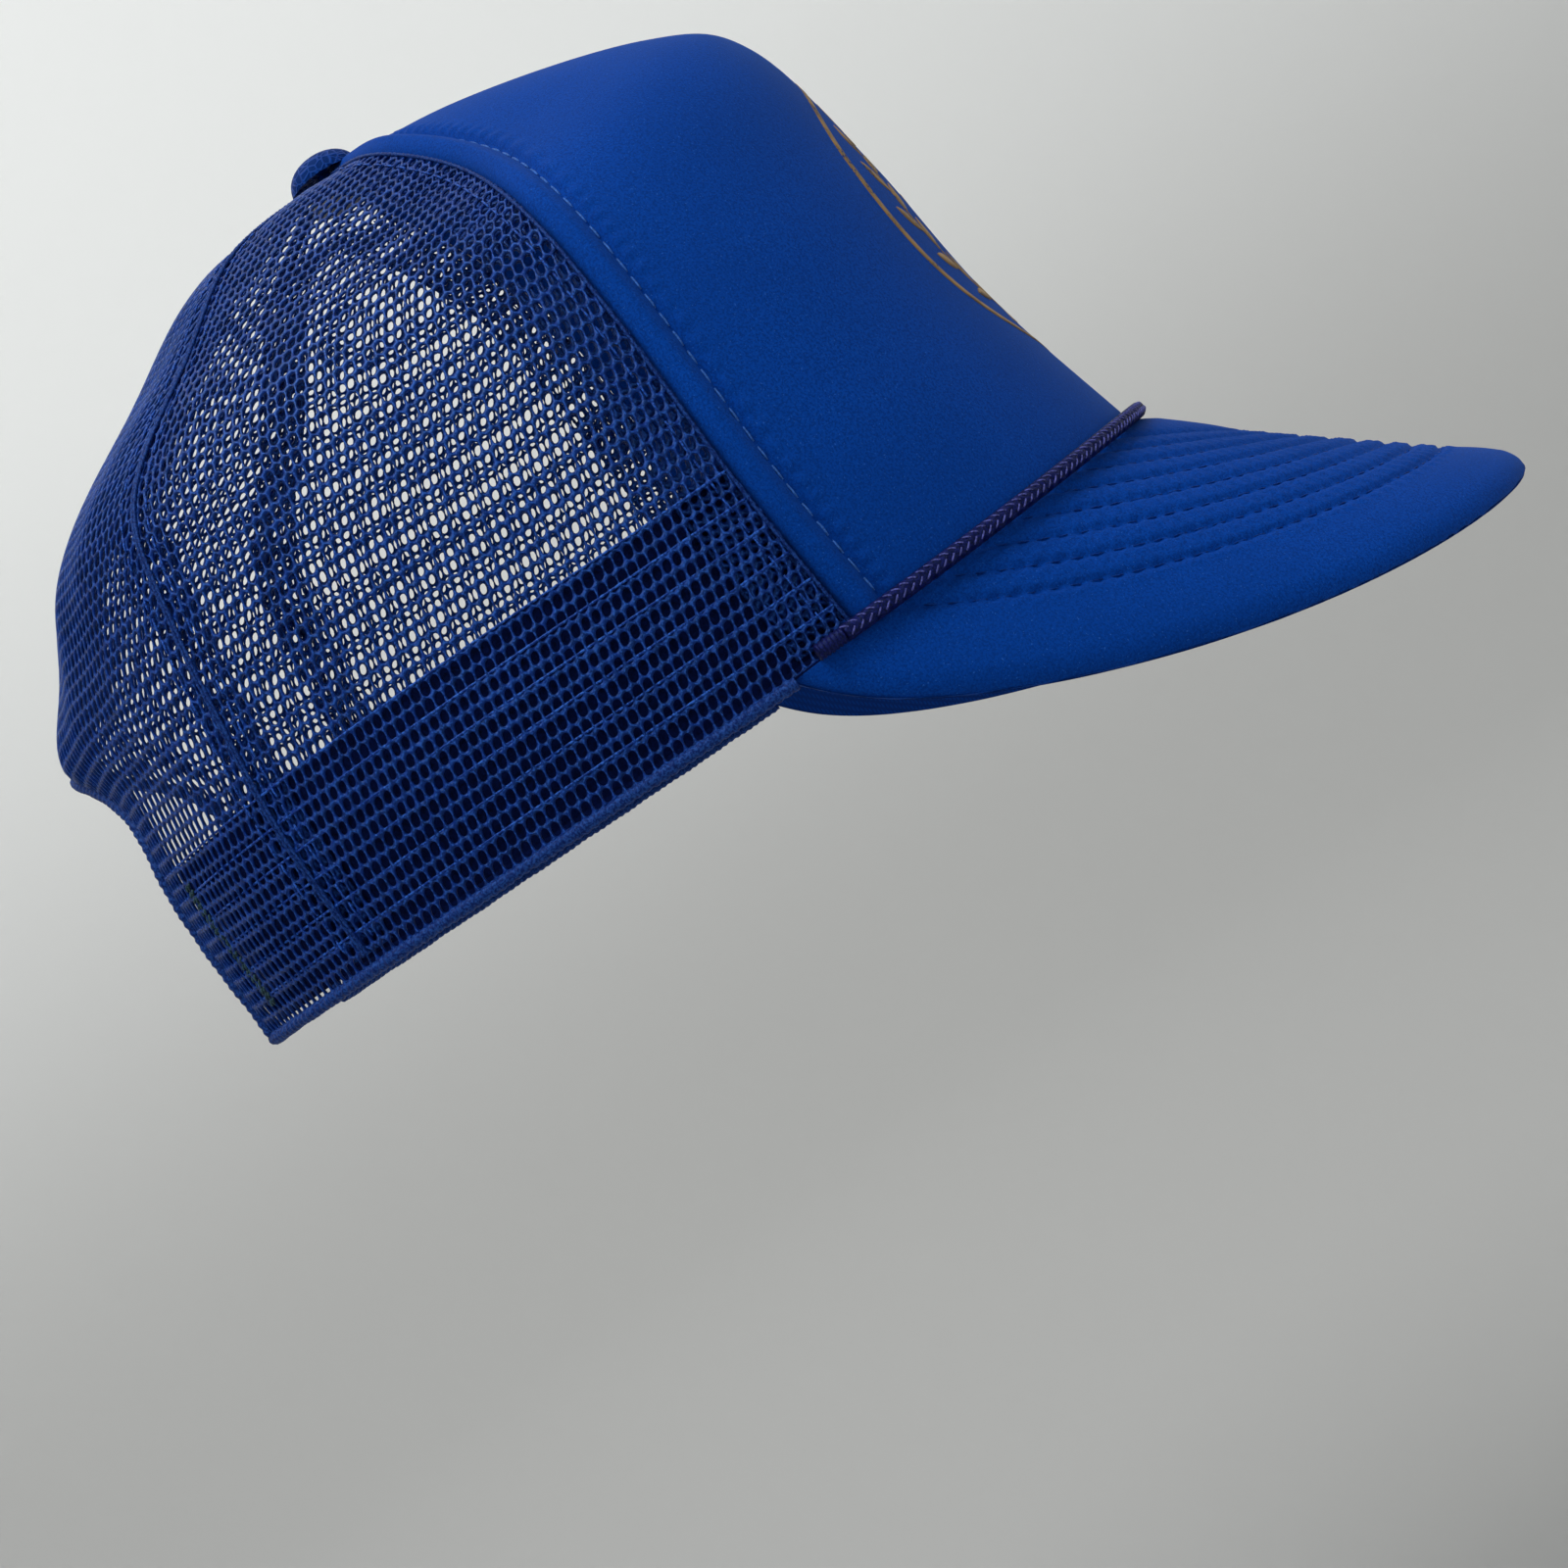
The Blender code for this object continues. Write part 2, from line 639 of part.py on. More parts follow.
def make_strap_tab(name, side):
    """Sewn end of a strap, between the mesh and the sweatband."""
    start = ARCH_HALF_WIDTH + BINDING_GAP
    columns = []
    for i in range(4):
        width = start + STRAP_TAB_LENGTH * i / 3
        column = []
        for height in (STRAP_HEM_GAP, STRAP_HEM_GAP + STRAP_WIDTH):
            share = share_at_height(angle_at_width(width, 0.05), height)
            column.append((side * angle_at_width(width, share), share))
        columns.append(column)
    depth = MESH_DEPTH + MESH_THICKNESS + STRAP_TAB_GAP
    crown_sheet(name, columns, depth, STRAP_TAB_THICKNESS,
                material("strap_plastic", CLEAR_BLUE, 0.35))


def main():
    clear_scene()
    make_front_panel()
    for hand, side in (("right", -1), ("left", 1)):
        make_side_panel("side_panel_" + hand, side)
        make_back_panel("back_panel_" + hand, side)
        make_seam_strips(side, hand)
        make_hem_binding("hem_binding_" + hand, side)
        make_strap_tab("strap_tab_" + hand, side)
    make_back_seam_strip()
    make_sweatband()
    make_arch_binding()
    make_brim_rope()
    make_visor()
    make_top_button()
    make_button_backing()
    make_strap()


main()
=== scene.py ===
import math

import bmesh
import bpy
import numpy as np
from bpy.props import FloatProperty, FloatVectorProperty, IntProperty, PointerProperty
from mathutils import Matrix, Vector, noise


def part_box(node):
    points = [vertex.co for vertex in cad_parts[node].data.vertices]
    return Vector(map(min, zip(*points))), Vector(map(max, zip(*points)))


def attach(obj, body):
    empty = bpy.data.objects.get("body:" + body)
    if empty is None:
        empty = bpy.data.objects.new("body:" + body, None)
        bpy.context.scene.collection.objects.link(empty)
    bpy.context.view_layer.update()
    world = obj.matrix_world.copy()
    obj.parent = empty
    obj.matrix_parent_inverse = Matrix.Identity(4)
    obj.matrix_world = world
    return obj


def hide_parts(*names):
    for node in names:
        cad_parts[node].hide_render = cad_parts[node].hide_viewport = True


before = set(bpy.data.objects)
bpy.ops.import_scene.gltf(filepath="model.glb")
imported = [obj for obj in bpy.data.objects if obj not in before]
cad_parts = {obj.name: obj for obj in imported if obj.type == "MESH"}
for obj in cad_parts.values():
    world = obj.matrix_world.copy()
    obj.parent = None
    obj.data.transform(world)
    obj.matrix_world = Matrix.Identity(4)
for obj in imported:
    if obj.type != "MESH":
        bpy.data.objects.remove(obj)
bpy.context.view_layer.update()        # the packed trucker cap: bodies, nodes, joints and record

bl_info = {
    "name": "Trucker Mesh Cap",
    "version": (1, 0, 0),
    "blender": (4, 5, 0),
    "location": "3D View > Sidebar > Cap",
    "description": "Foam front, knitted net crown, stitched visor, braided rope and snap strap",
    "category": "Object",
}

# The cap's own surface, in metres and as the frame has it ---------------------------------------

MM = 0.001
HEM_FRONT = -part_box("front_panel")[0].y
HEM_BACK = 0.1020
HEM_SIDE = 0.0814
CROWN_HEIGHT = 0.1326
FRONT_RISE = 0.0058
FRONT_FULLNESS = 2.0
BACK_FULLNESS = 2.25
FRONT_PROFILE = [(1, 0), (0.908, 0.290), (0.864, 0.554), (0.800, 0.783),
                 (0.664, 0.879), (0.322, 0.962), (0, 1)]
SIDE_PROFILE = [(1, 0), (1.022, 0.218), (0.981, 0.488), (0.878, 0.658),
                (0.623, 0.800), (0.347, 0.927), (0, 1)]
BACK_PROFILE = [(1, 0), (1.002, 0.243), (0.940, 0.456), (0.866, 0.661),
                (0.560, 0.837), (0.325, 0.941), (0, 1)]
FRONT_SEAM = math.radians(72)      # foam to net seam, as an angle from the front
BACK_SEAM = math.radians(128)
TOP_HOLE = 0.984                   # share of the way up at which the panels end
STRIP_TOP = 0.90
ARCH_HALF_WIDTH = 0.0380
ARCH_SIDE_HEIGHT = 0.0360
ARCH_HEIGHT = 0.0630
ARCH_FLARE = 0.0090
ARCH_FLARE_REACH = 0.0110
SEAM_GAP = 0.0005
BAND_HEIGHT = 0.0340
BAND_LIFT = 0.0010
BAND_DEPTH = 0.0030                # sweatband's outer face, under the crown's surface
VISOR_LENGTH = 0.0758
VISOR_HALF_WIDTH = 0.0802
VISOR_SLOPE = math.radians(38.1)
VISOR_SIDE_SLOPE = math.radians(11.4)
VISOR_SHARPNESS = 2.7
VISOR_DEPTH = 0.0056               # top of the cover to the underside of the lining
VISOR_COVER_THICKNESS = 2.2 * MM
VISOR_NEAR = 0.3 * MM              # covers start this far ahead of the hem
VISOR_SHUT_REACH = 1.5 * MM        # covers close on each other over this reach beside the hem
RIM_WIDTH = 4.5 * MM               # cloth starts to roll round the edge this far in
RIM_DROP = 2.9 * MM
BOARD_MARGIN = 6 * MM
BOARD_START = 2 * MM
BOARD_TOP = 2.35 * MM
BOARD_UNDERSIDE = 3.6 * MM
ROPE_RADIUS = 1.5 * MM
ROPE_POINTS = 800
WHIPPING_LENGTH = 5.0 * MM
WHIPPING_RADIUS = 1.42 * MM
ROPE_SEAT_OUT = 0.00205
ROPE_SEAT_UP = 0.0011
ROPE_HALF_ANGLE = math.radians(74)
STRAP_HEM_GAP = 0.0050
STRAP_WIDTH = 0.0180
STRAP_THICKNESS = 0.0012
STRAP_REACH = 0.0220
STRAP_DEPTH = 0.0016
STRAP_BOW = 0.0035
STRAP_EDGE = 0.0342
PEG_PITCH = 0.0085
STRAP_HOLE_RADIUS = 2.3 * MM
STRAP_END_RADIUS = 7 * MM
STRAP_HALVES_GAP = 0.4 * MM
PEG_STAND_OUT = 0.8 * MM           # peg's head beyond the outer strap's face

# The visual layers' own sizes
FOAM_THICKNESS = 2.6 * MM
NET_DEPTH = 0.40 * MM              # net's outer face, under the crown's surface
FRONT_TAPE_WIDTH = 0.0110
SIDE_TAPE_HALF_WIDTH = 0.0050
BACK_TAPE_HALF_WIDTH = 0.0060
TAPE_FIRST = 0.01                  # share of the way up at which the strips start
TAPE_DEPTH = 1.75 * MM
TAPE_HOLE_SCALE = 0.86
TAPE_SHIFT = 0.9 * MM
FOLD_DEPTH = 1.85 * MM
CORD_DEPTH = 0.22 * MM
CORD_RADIUS = 0.34 * MM
CORD_POINTS = 300
CORD_TOP = 0.97
RIB_DEPTH = 0.42 * MM
RIB_POINTS = 330
BINDING_RADIUS = 1.2 * MM
BINDING_DEPTH = 0.8 * MM
BINDING_POINTS = 520
TAPE_WIDEST = 0.03                 # cloth narrower than this is a strip, which isn't gathered
BACK_NET_WIDEST = 0.09             # cloth narrower than this is a back net, which gathers more
RING_RADIUS = 36.5 * MM
RING_WIDTH = 1.7 * MM
WREATH_RADIUS = 27 * MM
LEAF_LENGTH = 8.2 * MM
LEAF_HALF_WIDTH = 1.5 * MM
STAR_TIP = 15 * MM
STAR_NOTCH = 6.2 * MM
HANDS = (("right", -1), ("left", 1))   # the wearer's hands, and the sign of x on each side


# Settings a maker would change ------------------------------------------------------------------

def length_field(label, text, value):
    return FloatProperty(name=label, description=text, default=value, unit="LENGTH", precision=5)


def share_field(label, text, value):
    return FloatProperty(name=label, description=text, default=value, subtype="FACTOR")


def colour_field(label, text, value):
    return FloatVectorProperty(name=label, description=text, default=value, subtype="COLOR",
                               size=3, min=0, max=1)


class CapNet(bpy.types.PropertyGroup):
    """Sizes of the knitted net"""

    pitch: length_field("Hole pitch", "Hole to hole along the hem", 0.00197)
    row: length_field("Row pitch", "Row to row, up the crown", 0.00275)
    hole_width: length_field("Hole width", "Width of a hole along the hem", 0.00158)
    hole_height: length_field("Hole height", "Height of a hole up the crown", 0.00226)
    lean: share_field("Lean", "How far a hole's top leans back, as a share of its height", 0.20)
    cap: length_field("Cell point", "How far a cell's top and bottom points stand out", 0.00036)
    thickness: length_field("Net thickness", "Thickness of the knitted strands", 0.00072)
    rib_radius: length_field("Rib radius", "Radius of the laid-in yarns over the band", 0.00022)


class CapThread(bpy.types.PropertyGroup):
    """Sizes of the stitching"""

    pitch: length_field("Stitch pitch", "Start of one stitch to the start of the next", 0.0039)
    stitch: length_field("Stitch length", "Length of thread that shows in one stitch", 0.0028)
    radius: length_field("Thread radius", "Radius of the sewing thread", 0.00021)
    inset: length_field("Topstitch inset", "Front seam to its topstitching", 0.0064)
    rows: IntProperty(name="Visor rows", description="Stitched rows on the visor", default=8)
    row_gap: length_field("Visor row gap", "Distance from one visor row to the next", 0.0051)
    first_row: length_field("Visor margin", "Visor's edge to its first stitched row", 0.0158)


class CapColours(bpy.types.PropertyGroup):
    """Colours of the cloth, yarn, thread and plastic"""

    foam: colour_field("Foam cloth", "Laminated cloth of the front and visor", (0.0016, 0.056, 0.370))
    net: colour_field("Net yarn", "Knitted net", (0.0012, 0.014, 0.135))
    # lighter loops at the net's crossings: partly the yarn's own shade, partly a painted highlight
    # standing in for glints on the see-through loops
    knot_and_glint: colour_field("Net knots", "Lighter loops where strands cross", (0.026, 0.115, 0.520))
    band: colour_field("Sweatband", "Towelling of the sweatband", (0.0012, 0.006, 0.050))
    rope: colour_field("Rope", "Ground yarn of the brim rope", (0.0030, 0.0040, 0.050))
    fleck: colour_field("Rope fleck", "Slanting flecks of the brim rope", (0.110, 0.120, 0.420))
    thread: colour_field("Topstitch", "Thread of the front seams", (0.060, 0.210, 0.680))
    tack: colour_field("Tack thread", "Thread that holds the strap's ends", (0.030, 0.065, 0.075))
    plastic: colour_field("Strap plastic", "Snap strap", (0.004, 0.030, 0.190))
    gold: colour_field("Gold ink", "Printed emblem", (0.300, 0.170, 0.045))


class CapStage(bpy.types.PropertyGroup):
    """Camera and light"""

    view_angle: FloatProperty(name="View angle", description="Camera's field of view",
                              default=math.radians(37.63), subtype="ANGLE")
    roll: FloatProperty(name="Roll", description="Camera's turn about its line of sight",
                        default=math.radians(-34.0), subtype="ANGLE")
    key: FloatProperty(name="Key light", description="Power of the soft light above, in watts",
                       default=10.5)
    fill: FloatProperty(name="Fill light", description="Power of the light beside the camera",
                        default=1.6)
    wall: FloatProperty(name="Wall light", description="Power of the light on the backdrop",
                        default=10.5)
    sky: FloatProperty(name="Room light", description="Strength of the room's even light",
                       default=0.58)


def net_look():
    return bpy.context.scene.cap_net


def thread_look():
    return bpy.context.scene.cap_thread


def tint(name):
    return tuple(getattr(bpy.context.scene.cap_colours, name))


# The crown's surface ------------------------------------------------------------------------------

def along(points, share):
    """Points at shares from 0 to 1 of the smooth curve through the points."""
    knots = np.array(points, float)
    knots = np.vstack([2 * knots[0] - knots[1], knots, 2 * knots[-1] - knots[-2]])
    last = len(points) - 1
    at = np.clip(share, 0, 1) * last
    i = np.minimum(at.astype(int), last - 1)
    t = (at - i)[..., None]
    p0, p1, p2, p3 = knots[i], knots[i + 1], knots[i + 2], knots[i + 3]
    return 0.5 * (2 * p1 + (p2 - p0) * t + (2 * p0 - 5 * p1 + 4 * p2 - p3) * t * t
                  + (3 * p1 - p0 - 3 * p2 + p3) * t ** 3)


def crown(angle, share):
    """Outer surface at an angle from the front and a share of the way from the hem to the top."""
    angle, share = np.broadcast_arrays(np.asarray(angle, float), np.asarray(share, float))
    facing = np.cos(angle)
    turned = np.sin(angle)
    front = facing >= 0
    side = along(SIDE_PROFILE, share)
    end = np.where(front[..., None], along(FRONT_PROFILE, share), along(BACK_PROFILE, share))
    power = 2 / np.where(front, FRONT_FULLNESS, BACK_FULLNESS)
    reach = np.where(front, HEM_FRONT, HEM_BACK)
    x = HEM_SIDE * side[..., 0] * np.sign(turned) * np.abs(turned) ** power
    y = -reach * end[..., 0] * np.sign(facing) * np.abs(facing) ** power
    z = CROWN_HEIGHT * (side[..., 1] + (end[..., 1] - side[..., 1]) * facing ** 2)
    z = z + FRONT_RISE * np.maximum(facing, 0) ** 2 * np.maximum(1 - 2 * share, 0) ** 2
    lip = np.exp(-((z - ARCH_HEIGHT) / ARCH_FLARE_REACH) ** 2)
    y = y + ARCH_FLARE * lip * np.maximum(-facing, 0) ** 6
    return np.stack([x, y, z], axis=-1)


def unit(vectors):
    return vectors / np.maximum(np.linalg.norm(vectors, axis=-1, keepdims=True), 1e-12)


def crown_normal(angle, share):
    """Outward direction of the crown's surface."""
    step = 0.002
    across = crown(angle + step, share) - crown(angle - step, share)
    up = crown(angle, share + step) - crown(angle, share - step)
    return unit(np.cross(across, up))


def under_crown(angle, share, depth):
    """Places at a depth under the crown's outer surface."""
    depth = np.asarray(depth, float)
    return crown(angle, share) - crown_normal(angle, share) * depth[..., None]


def turn_for(angle, share, width):
    """Angle that spans a width along the crown at these shares."""
    step = 0.01
    reach = np.linalg.norm(crown(angle + step, share) - crown(angle - step, share), axis=-1)
    return np.minimum(width * 2 * step / reach, math.pi / 4)


def share_at_height(angle, height):
    """Shares at which the crown reaches a height above its hem at these angles."""
    angle = np.asarray(angle, float)
    wanted = height + crown(angle, np.zeros_like(angle))[..., 2]
    low = np.zeros_like(angle)
    high = np.full_like(angle, 0.9)
    for _ in range(26):
        middle = (low + high) / 2
        under = crown(angle, middle)[..., 2] < wanted
        low = np.where(under, middle, low)
        high = np.where(under, high, middle)
    return low


def angle_at_width(width, share):
    """Angle on the back half at which the crown is this far from the middle."""
    reach = HEM_SIDE * along(SIDE_PROFILE, np.asarray(share, float))[..., 0]
    ratio = np.minimum(np.abs(width) / reach, 1.0) ** (BACK_FULLNESS / 2)
    return math.pi - np.arcsin(ratio)


def arch_edge(turn, inset):
    """Angle and share on the arch's edge; turn runs from 0 at the side to pi / 2 at the top."""
    width = (ARCH_HALF_WIDTH - inset) * np.cos(turn)
    height = ARCH_SIDE_HEIGHT + (ARCH_HEIGHT - inset - ARCH_SIDE_HEIGHT) * np.sin(turn)
    share = np.full_like(width, 0.2)
    for _ in range(12):
        angle = angle_at_width(width, share)
        share = share_at_height(angle, height)
    return angle, share


# Cloth laid flat ----------------------------------------------------------------------------------

class Panel:
    """Crown cloth laid flat: x runs along the hem from the panel's middle, y up from the hem."""

    def __init__(self, low, high, middle, first=0.0, last=TOP_HOLE):
        self.shares = np.linspace(first, last, 150)
        low_angle = low(self.shares)
        high_angle = high(self.shares)
        spare = 0.35
        self.angles = np.linspace(low_angle.min() - spare, high_angle.max() + spare, 160)
        grid = crown(self.angles[None, :], self.shares[:, None])
        steps = np.linalg.norm(np.diff(grid, axis=1), axis=2)
        x = np.concatenate([np.zeros((len(self.shares), 1)), np.cumsum(steps, axis=1)], axis=1)
        at_middle = np.array([np.interp(middle, self.angles, row) for row in x])
        self.x = x - at_middle[:, None]
        line = crown(np.full_like(self.shares, middle), self.shares)
        rise = np.linalg.norm(np.diff(line, axis=0), axis=1)
        self.y = np.concatenate([[0.0], np.cumsum(rise)])
        self.low_x = np.array([np.interp(a, self.angles, r) for a, r in zip(low_angle, self.x)])
        self.high_x = np.array([np.interp(a, self.angles, r) for a, r in zip(high_angle, self.x)])

    def crown_place(self, x, y):
        """Angle and share on the crown of flat places."""
        row = np.clip(np.interp(y, self.y, np.arange(len(self.y))), 0, len(self.y) - 1.001)
        base = row.astype(int)
        angle = np.empty(len(x))
        for i in np.unique(base):
            here = base == i
            low = np.interp(x[here], self.x[i], self.angles)
            high = np.interp(x[here], self.x[i + 1], self.angles)
            angle[here] = low + (high - low) * (row[here] - i)
        return angle, np.interp(y, self.y, self.shares)

    def left(self, y):
        return np.interp(y, self.y, self.low_x)

    def right(self, y):
        return np.interp(y, self.y, self.high_x)

    def size(self):
        """Width and length of the cut cloth."""
        return float(self.high_x.max() - self.low_x.min()), float(self.y[-1])

    def area(self):
        return float(np.trapz(self.high_x - self.low_x, self.y))


def seam_beside(angle, width):
    """Seam line at an angle, moved sideways by a width."""
    def seam(share):
        turn = turn_for(np.full_like(share, angle), share, abs(width))
        return angle + math.copysign(1, width) * turn
    return seam


def back_inner_edge(share):
    """Inner edge of a back panel: the arch, and the middle seam above it."""
    angle = np.full_like(share, math.pi)
    height = crown(angle, share)[..., 2]
    up = np.clip((height - ARCH_SIDE_HEIGHT) / (ARCH_HEIGHT - ARCH_SIDE_HEIGHT), 0, 1)
    width = np.maximum((ARCH_HALF_WIDTH - 0.6 * MM) * np.sqrt(1 - up ** 2), SEAM_GAP / 2)
    return angle_at_width(width, share)


def panels():
    """The crown's cloths for the wearer's left; the right ones are their mirror images."""
    gap = SEAM_GAP / 2
    return {
        "front": Panel(seam_beside(-FRONT_SEAM, gap), seam_beside(FRONT_SEAM, -gap), 0.0),
        "side": Panel(seam_beside(FRONT_SEAM, gap), seam_beside(BACK_SEAM, -gap),
                      (FRONT_SEAM + BACK_SEAM) / 2),
        "back": Panel(seam_beside(BACK_SEAM, gap), back_inner_edge, math.radians(150)),
    }


# Mesh helpers ---------------------------------------------------------------------------------------

def new_object(name, bm, material):
    """Turns a bmesh into a smooth object in the scene."""
    mesh = bpy.data.meshes.new(name)
    bm.to_mesh(mesh)
    bm.free()
    mesh.shade_smooth()
    mesh.materials.append(material)
    made = bpy.data.objects.new(name, mesh)
    bpy.context.scene.collection.objects.link(made)
    return made


def finish_piece(name, bm, material, body="cap", replaces=(), sharp=None):
    """Turns a bmesh into a piece that rides on a body of the frame."""
    bmesh.ops.recalc_face_normals(bm, faces=bm.faces)
    piece = new_object(name, bm, material)
    if sharp is not None:
        piece.data.set_sharp_from_angle(angle=math.radians(sharp))
    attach(piece, body)
    if replaces:
        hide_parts(*replaces)
    return piece


def set_places(verts, places):
    for vert, place in zip(verts, places):
        vert.co = place


def grid_shares(verts):
    """Shares from 0 to 1 across and along a new grid of size 0.5."""
    co = np.array([v.co[:2] for v in verts])
    return co[:, 0] + 0.5, co[:, 1] + 0.5


def add_cloth(bm, across, up, outer, inner):
    """Adds a closed cloth; outer and inner turn grid shares into places on its two faces."""
    face = bmesh.ops.create_grid(bm, x_segments=across, y_segments=up, size=0.5)["verts"]
    a, b = grid_shares(face)
    faces = list({f for v in face for f in v.link_faces})
    grown = bmesh.ops.extrude_face_region(bm, geom=faces)["geom"]
    top = [g for g in grown if isinstance(g, bmesh.types.BMVert)]
    c, d = grid_shares(top)
    set_places(face, inner(a, b))
    set_places(top, outer(c, d))


def lathe(profile, steps, weld):
    """A new bmesh: a profile of (radius, height) turned about the upright axis."""
    bm = bmesh.new()
    verts = [bm.verts.new((r, 0, z)) for r, z in profile]
    edges = [bm.edges.new(pair) for pair in zip(verts, verts[1:])]
    bmesh.ops.spin(bm, geom=verts + edges, axis=(0, 0, 1), cent=(0, 0, 0), steps=steps,
                   angle=math.tau, use_merge=True)
    bmesh.ops.remove_doubles(bm, verts=bm.verts[:], dist=weld)
    return bm


def to_side(side, *lines):
    """Mirrors lines in place where side is -1."""
    for line in lines:
        line[:, 0] *= side


def path_frame(points, out):
    """Unit directions along a path and square to it, the second one nearest to out."""
    ahead = unit(np.gradient(points, axis=0))
    side = unit(np.cross(ahead, out))
    return ahead, unit(np.cross(side, ahead)), side


def resample(points, count):
    """The same line with evenly spaced points."""
    points = np.asarray(points, float)
    at = np.concatenate([[0], np.cumsum(np.linalg.norm(np.diff(points, axis=0), axis=1))])
    wanted = np.linspace(0, at[-1], count)
    return np.stack([np.interp(wanted, at, points[:, k]) for k in range(3)], axis=1), at[-1]


def spread_out(directions, count):
    """The same run of unit directions with another number of them."""
    at = np.linspace(0, 1, len(directions))
    wanted = np.linspace(0, 1, count)
    return unit(np.stack([np.interp(wanted, at, directions[:, k]) for k in range(3)], axis=1))


def add_tube(bm, points, out, sides, reach):
    """Adds a tube about a path: a grid rolled up, welded along its join and capped.

    reach turns (share of the length, turn about the path) into a radius.
    """
    rings = len(points) - 1
    rolled = bmesh.ops.create_grid(bm, x_segments=rings, y_segments=sides, size=0.5)["verts"]
    a, b = grid_shares(rolled)
    _, normal, side = path_frame(points, out)
    i = np.rint(a * rings).astype(int)
    turn = 2 * math.pi * b
    away = reach(a, turn)[:, None]
    set_places(rolled, points[i] + away * (np.cos(turn)[:, None] * normal[i]
                                           + np.sin(turn)[:, None] * side[i]))
    ends = [v for v, k in zip(rolled, i) if k in (0, rings)]
    bmesh.ops.remove_doubles(bm, verts=rolled, dist=1e-7)
    rims = list({e for v in ends if v.is_valid for e in v.link_edges if e.is_boundary})
    bmesh.ops.holes_fill(bm, edges=rims, sides=0)


def add_stitch(bm, start, end, out, radius, arch=0.6):
    """Adds one stitch: a short thread that dips into the cloth at both ends."""
    share = np.linspace(0, 1, 5)[:, None]
    points = start + (end - start) * share + out * (np.sin(share * math.pi) - 1) * radius * arch
    normals = np.repeat(out[None, :], 5, axis=0)

    def reach(a, turn):
        return radius * (0.45 + 0.55 * np.sin(math.pi * np.clip(a, 0.08, 0.92)) ** 0.5)

    add_tube(bm, points, normals, 6, reach)


def add_stitch_row(bm, points, out, look, pitch=None, stitch=None, slant=0.0, radius=None):
    """Adds stitches along a path; slant moves a stitch's ends sideways, apart from each other."""
    pitch = pitch or look.pitch
    stitch = stitch or look.stitch
    radius = radius or look.radius
    fine = 12 * len(points)
    line, total = resample(points, fine)
    _, normals, sideways = path_frame(line, spread_out(out, fine))
    count = int(total / pitch)
    for k in range(count):
        begin = int((k + 0.5 - stitch / pitch / 2) * pitch / total * (fine - 1))
        last = int((k + 0.5 + stitch / pitch / 2) * pitch / total * (fine - 1))
        middle = (begin + last) // 2
        push = sideways[middle] * slant
        add_stitch(bm, line[begin] - push, line[last] + push, normals[middle], radius)


def crown_line(angle, share, depth):
    """Places and outward directions along a line on the crown."""
    return under_crown(angle, share, np.full_like(share, depth)), crown_normal(angle, share)


# Shader arithmetic ------------------------------------------------------------------------------

class Wire:
    """A value socket that takes part in arithmetic."""

    def __init__(self, paint, socket):
        self.paint = paint
        self.socket = socket

    def _join(self, operation, a, b):
        return self.paint.add("ShaderNodeMath", {"operation": operation}, {0: a, 1: b})

    def __add__(self, other):
        return self._join("ADD", self, other)

    __radd__ = __add__

    def __sub__(self, other):
        return self._join("SUBTRACT", self, other)

    def __rsub__(self, other):
        return self._join("SUBTRACT", other, self)

    def __mul__(self, other):
        return self._join("MULTIPLY", self, other)

    __rmul__ = __mul__


class Paint:
    """A procedural material and the tools to wire it."""

    def __init__(self, name, roughness, **fixed):
        self.material = bpy.data.materials.new(name)
        self.material.use_nodes = True
        self.tree = self.material.node_tree
        self.shader = self.tree.nodes["Principled BSDF"]
        self.shader.inputs["Roughness"].default_value = roughness
        for label, value in fixed.items():
            self.shader.inputs[label.replace("_", " ")].default_value = value
        self.places = self.add("ShaderNodeTexCoord", {}, {}, "Object")

    def add(self, kind, settings, inputs, output=0):
        """Adds a node: its settings first, then values or wires for its sockets."""
        node = self.tree.nodes.new(kind)
        for label, value in settings.items():
            setattr(node, label, value)
        for label, value in inputs.items():
            if isinstance(value, Wire):
                self.tree.links.new(value.socket, node.inputs[label])
            else:
                node.inputs[label].default_value = value
        return Wire(self, node.outputs[output])

    def noise(self, scale, detail=2.0, rough=0.5, stretch=None):
        where = self.places
        if stretch:
            where = self.add("ShaderNodeMapping", {}, {"Vector": where, "Scale": stretch})
        return self.add("ShaderNodeTexNoise", {}, {"Vector": where, "Scale": scale,
                                                   "Detail": detail, "Roughness": rough})

    def ramp(self, value, low, high):
        """0 below low, 1 above high, smooth between."""
        return self.add("ShaderNodeMapRange", {"interpolation_type": "SMOOTHSTEP"},
                        {"Value": value, "From Min": low, "From Max": high})

    def blend(self, mask, a, b):
        """Colour a where the mask is 0 and b where it is 1."""
        a = a if isinstance(a, Wire) else (*a, 1.0)
        b = b if isinstance(b, Wire) else (*b, 1.0)
        return self.add("ShaderNodeMix", {"data_type": "RGBA"}, {0: mask, 6: a, 7: b}, 2)

    def attribute(self, name):
        return self.add("ShaderNodeAttribute", {"attribute_name": name}, {}, "Fac")

    def height(self):
        """Height in metres above the hem's level."""
        return self.add("ShaderNodeSeparateXYZ", {}, {"Vector": self.places}, "Z")

    def base(self, value):
        self.tree.links.new(value.socket, self.shader.inputs["Base Color"])

    def rough(self, value):
        self.tree.links.new(value.socket, self.shader.inputs["Roughness"])

    def alpha(self, value):
        self.tree.links.new(value.socket, self.shader.inputs["Alpha"])

    def bump(self, value, distance, strength=1.0):
        made = self.add("ShaderNodeBump", {}, {"Height": value, "Distance": distance,
                                               "Strength": strength}, "Normal")
        self.tree.links.new(made.socket, self.shader.inputs["Normal"])


FINISHES = {}


def finish(name):
    """The material with this name, made the first time it is asked for."""
    if name not in FINISHES:
        FINISHES[name] = yarn(name) if name in YARNS else MAKERS[name]()
    return FINISHES[name]


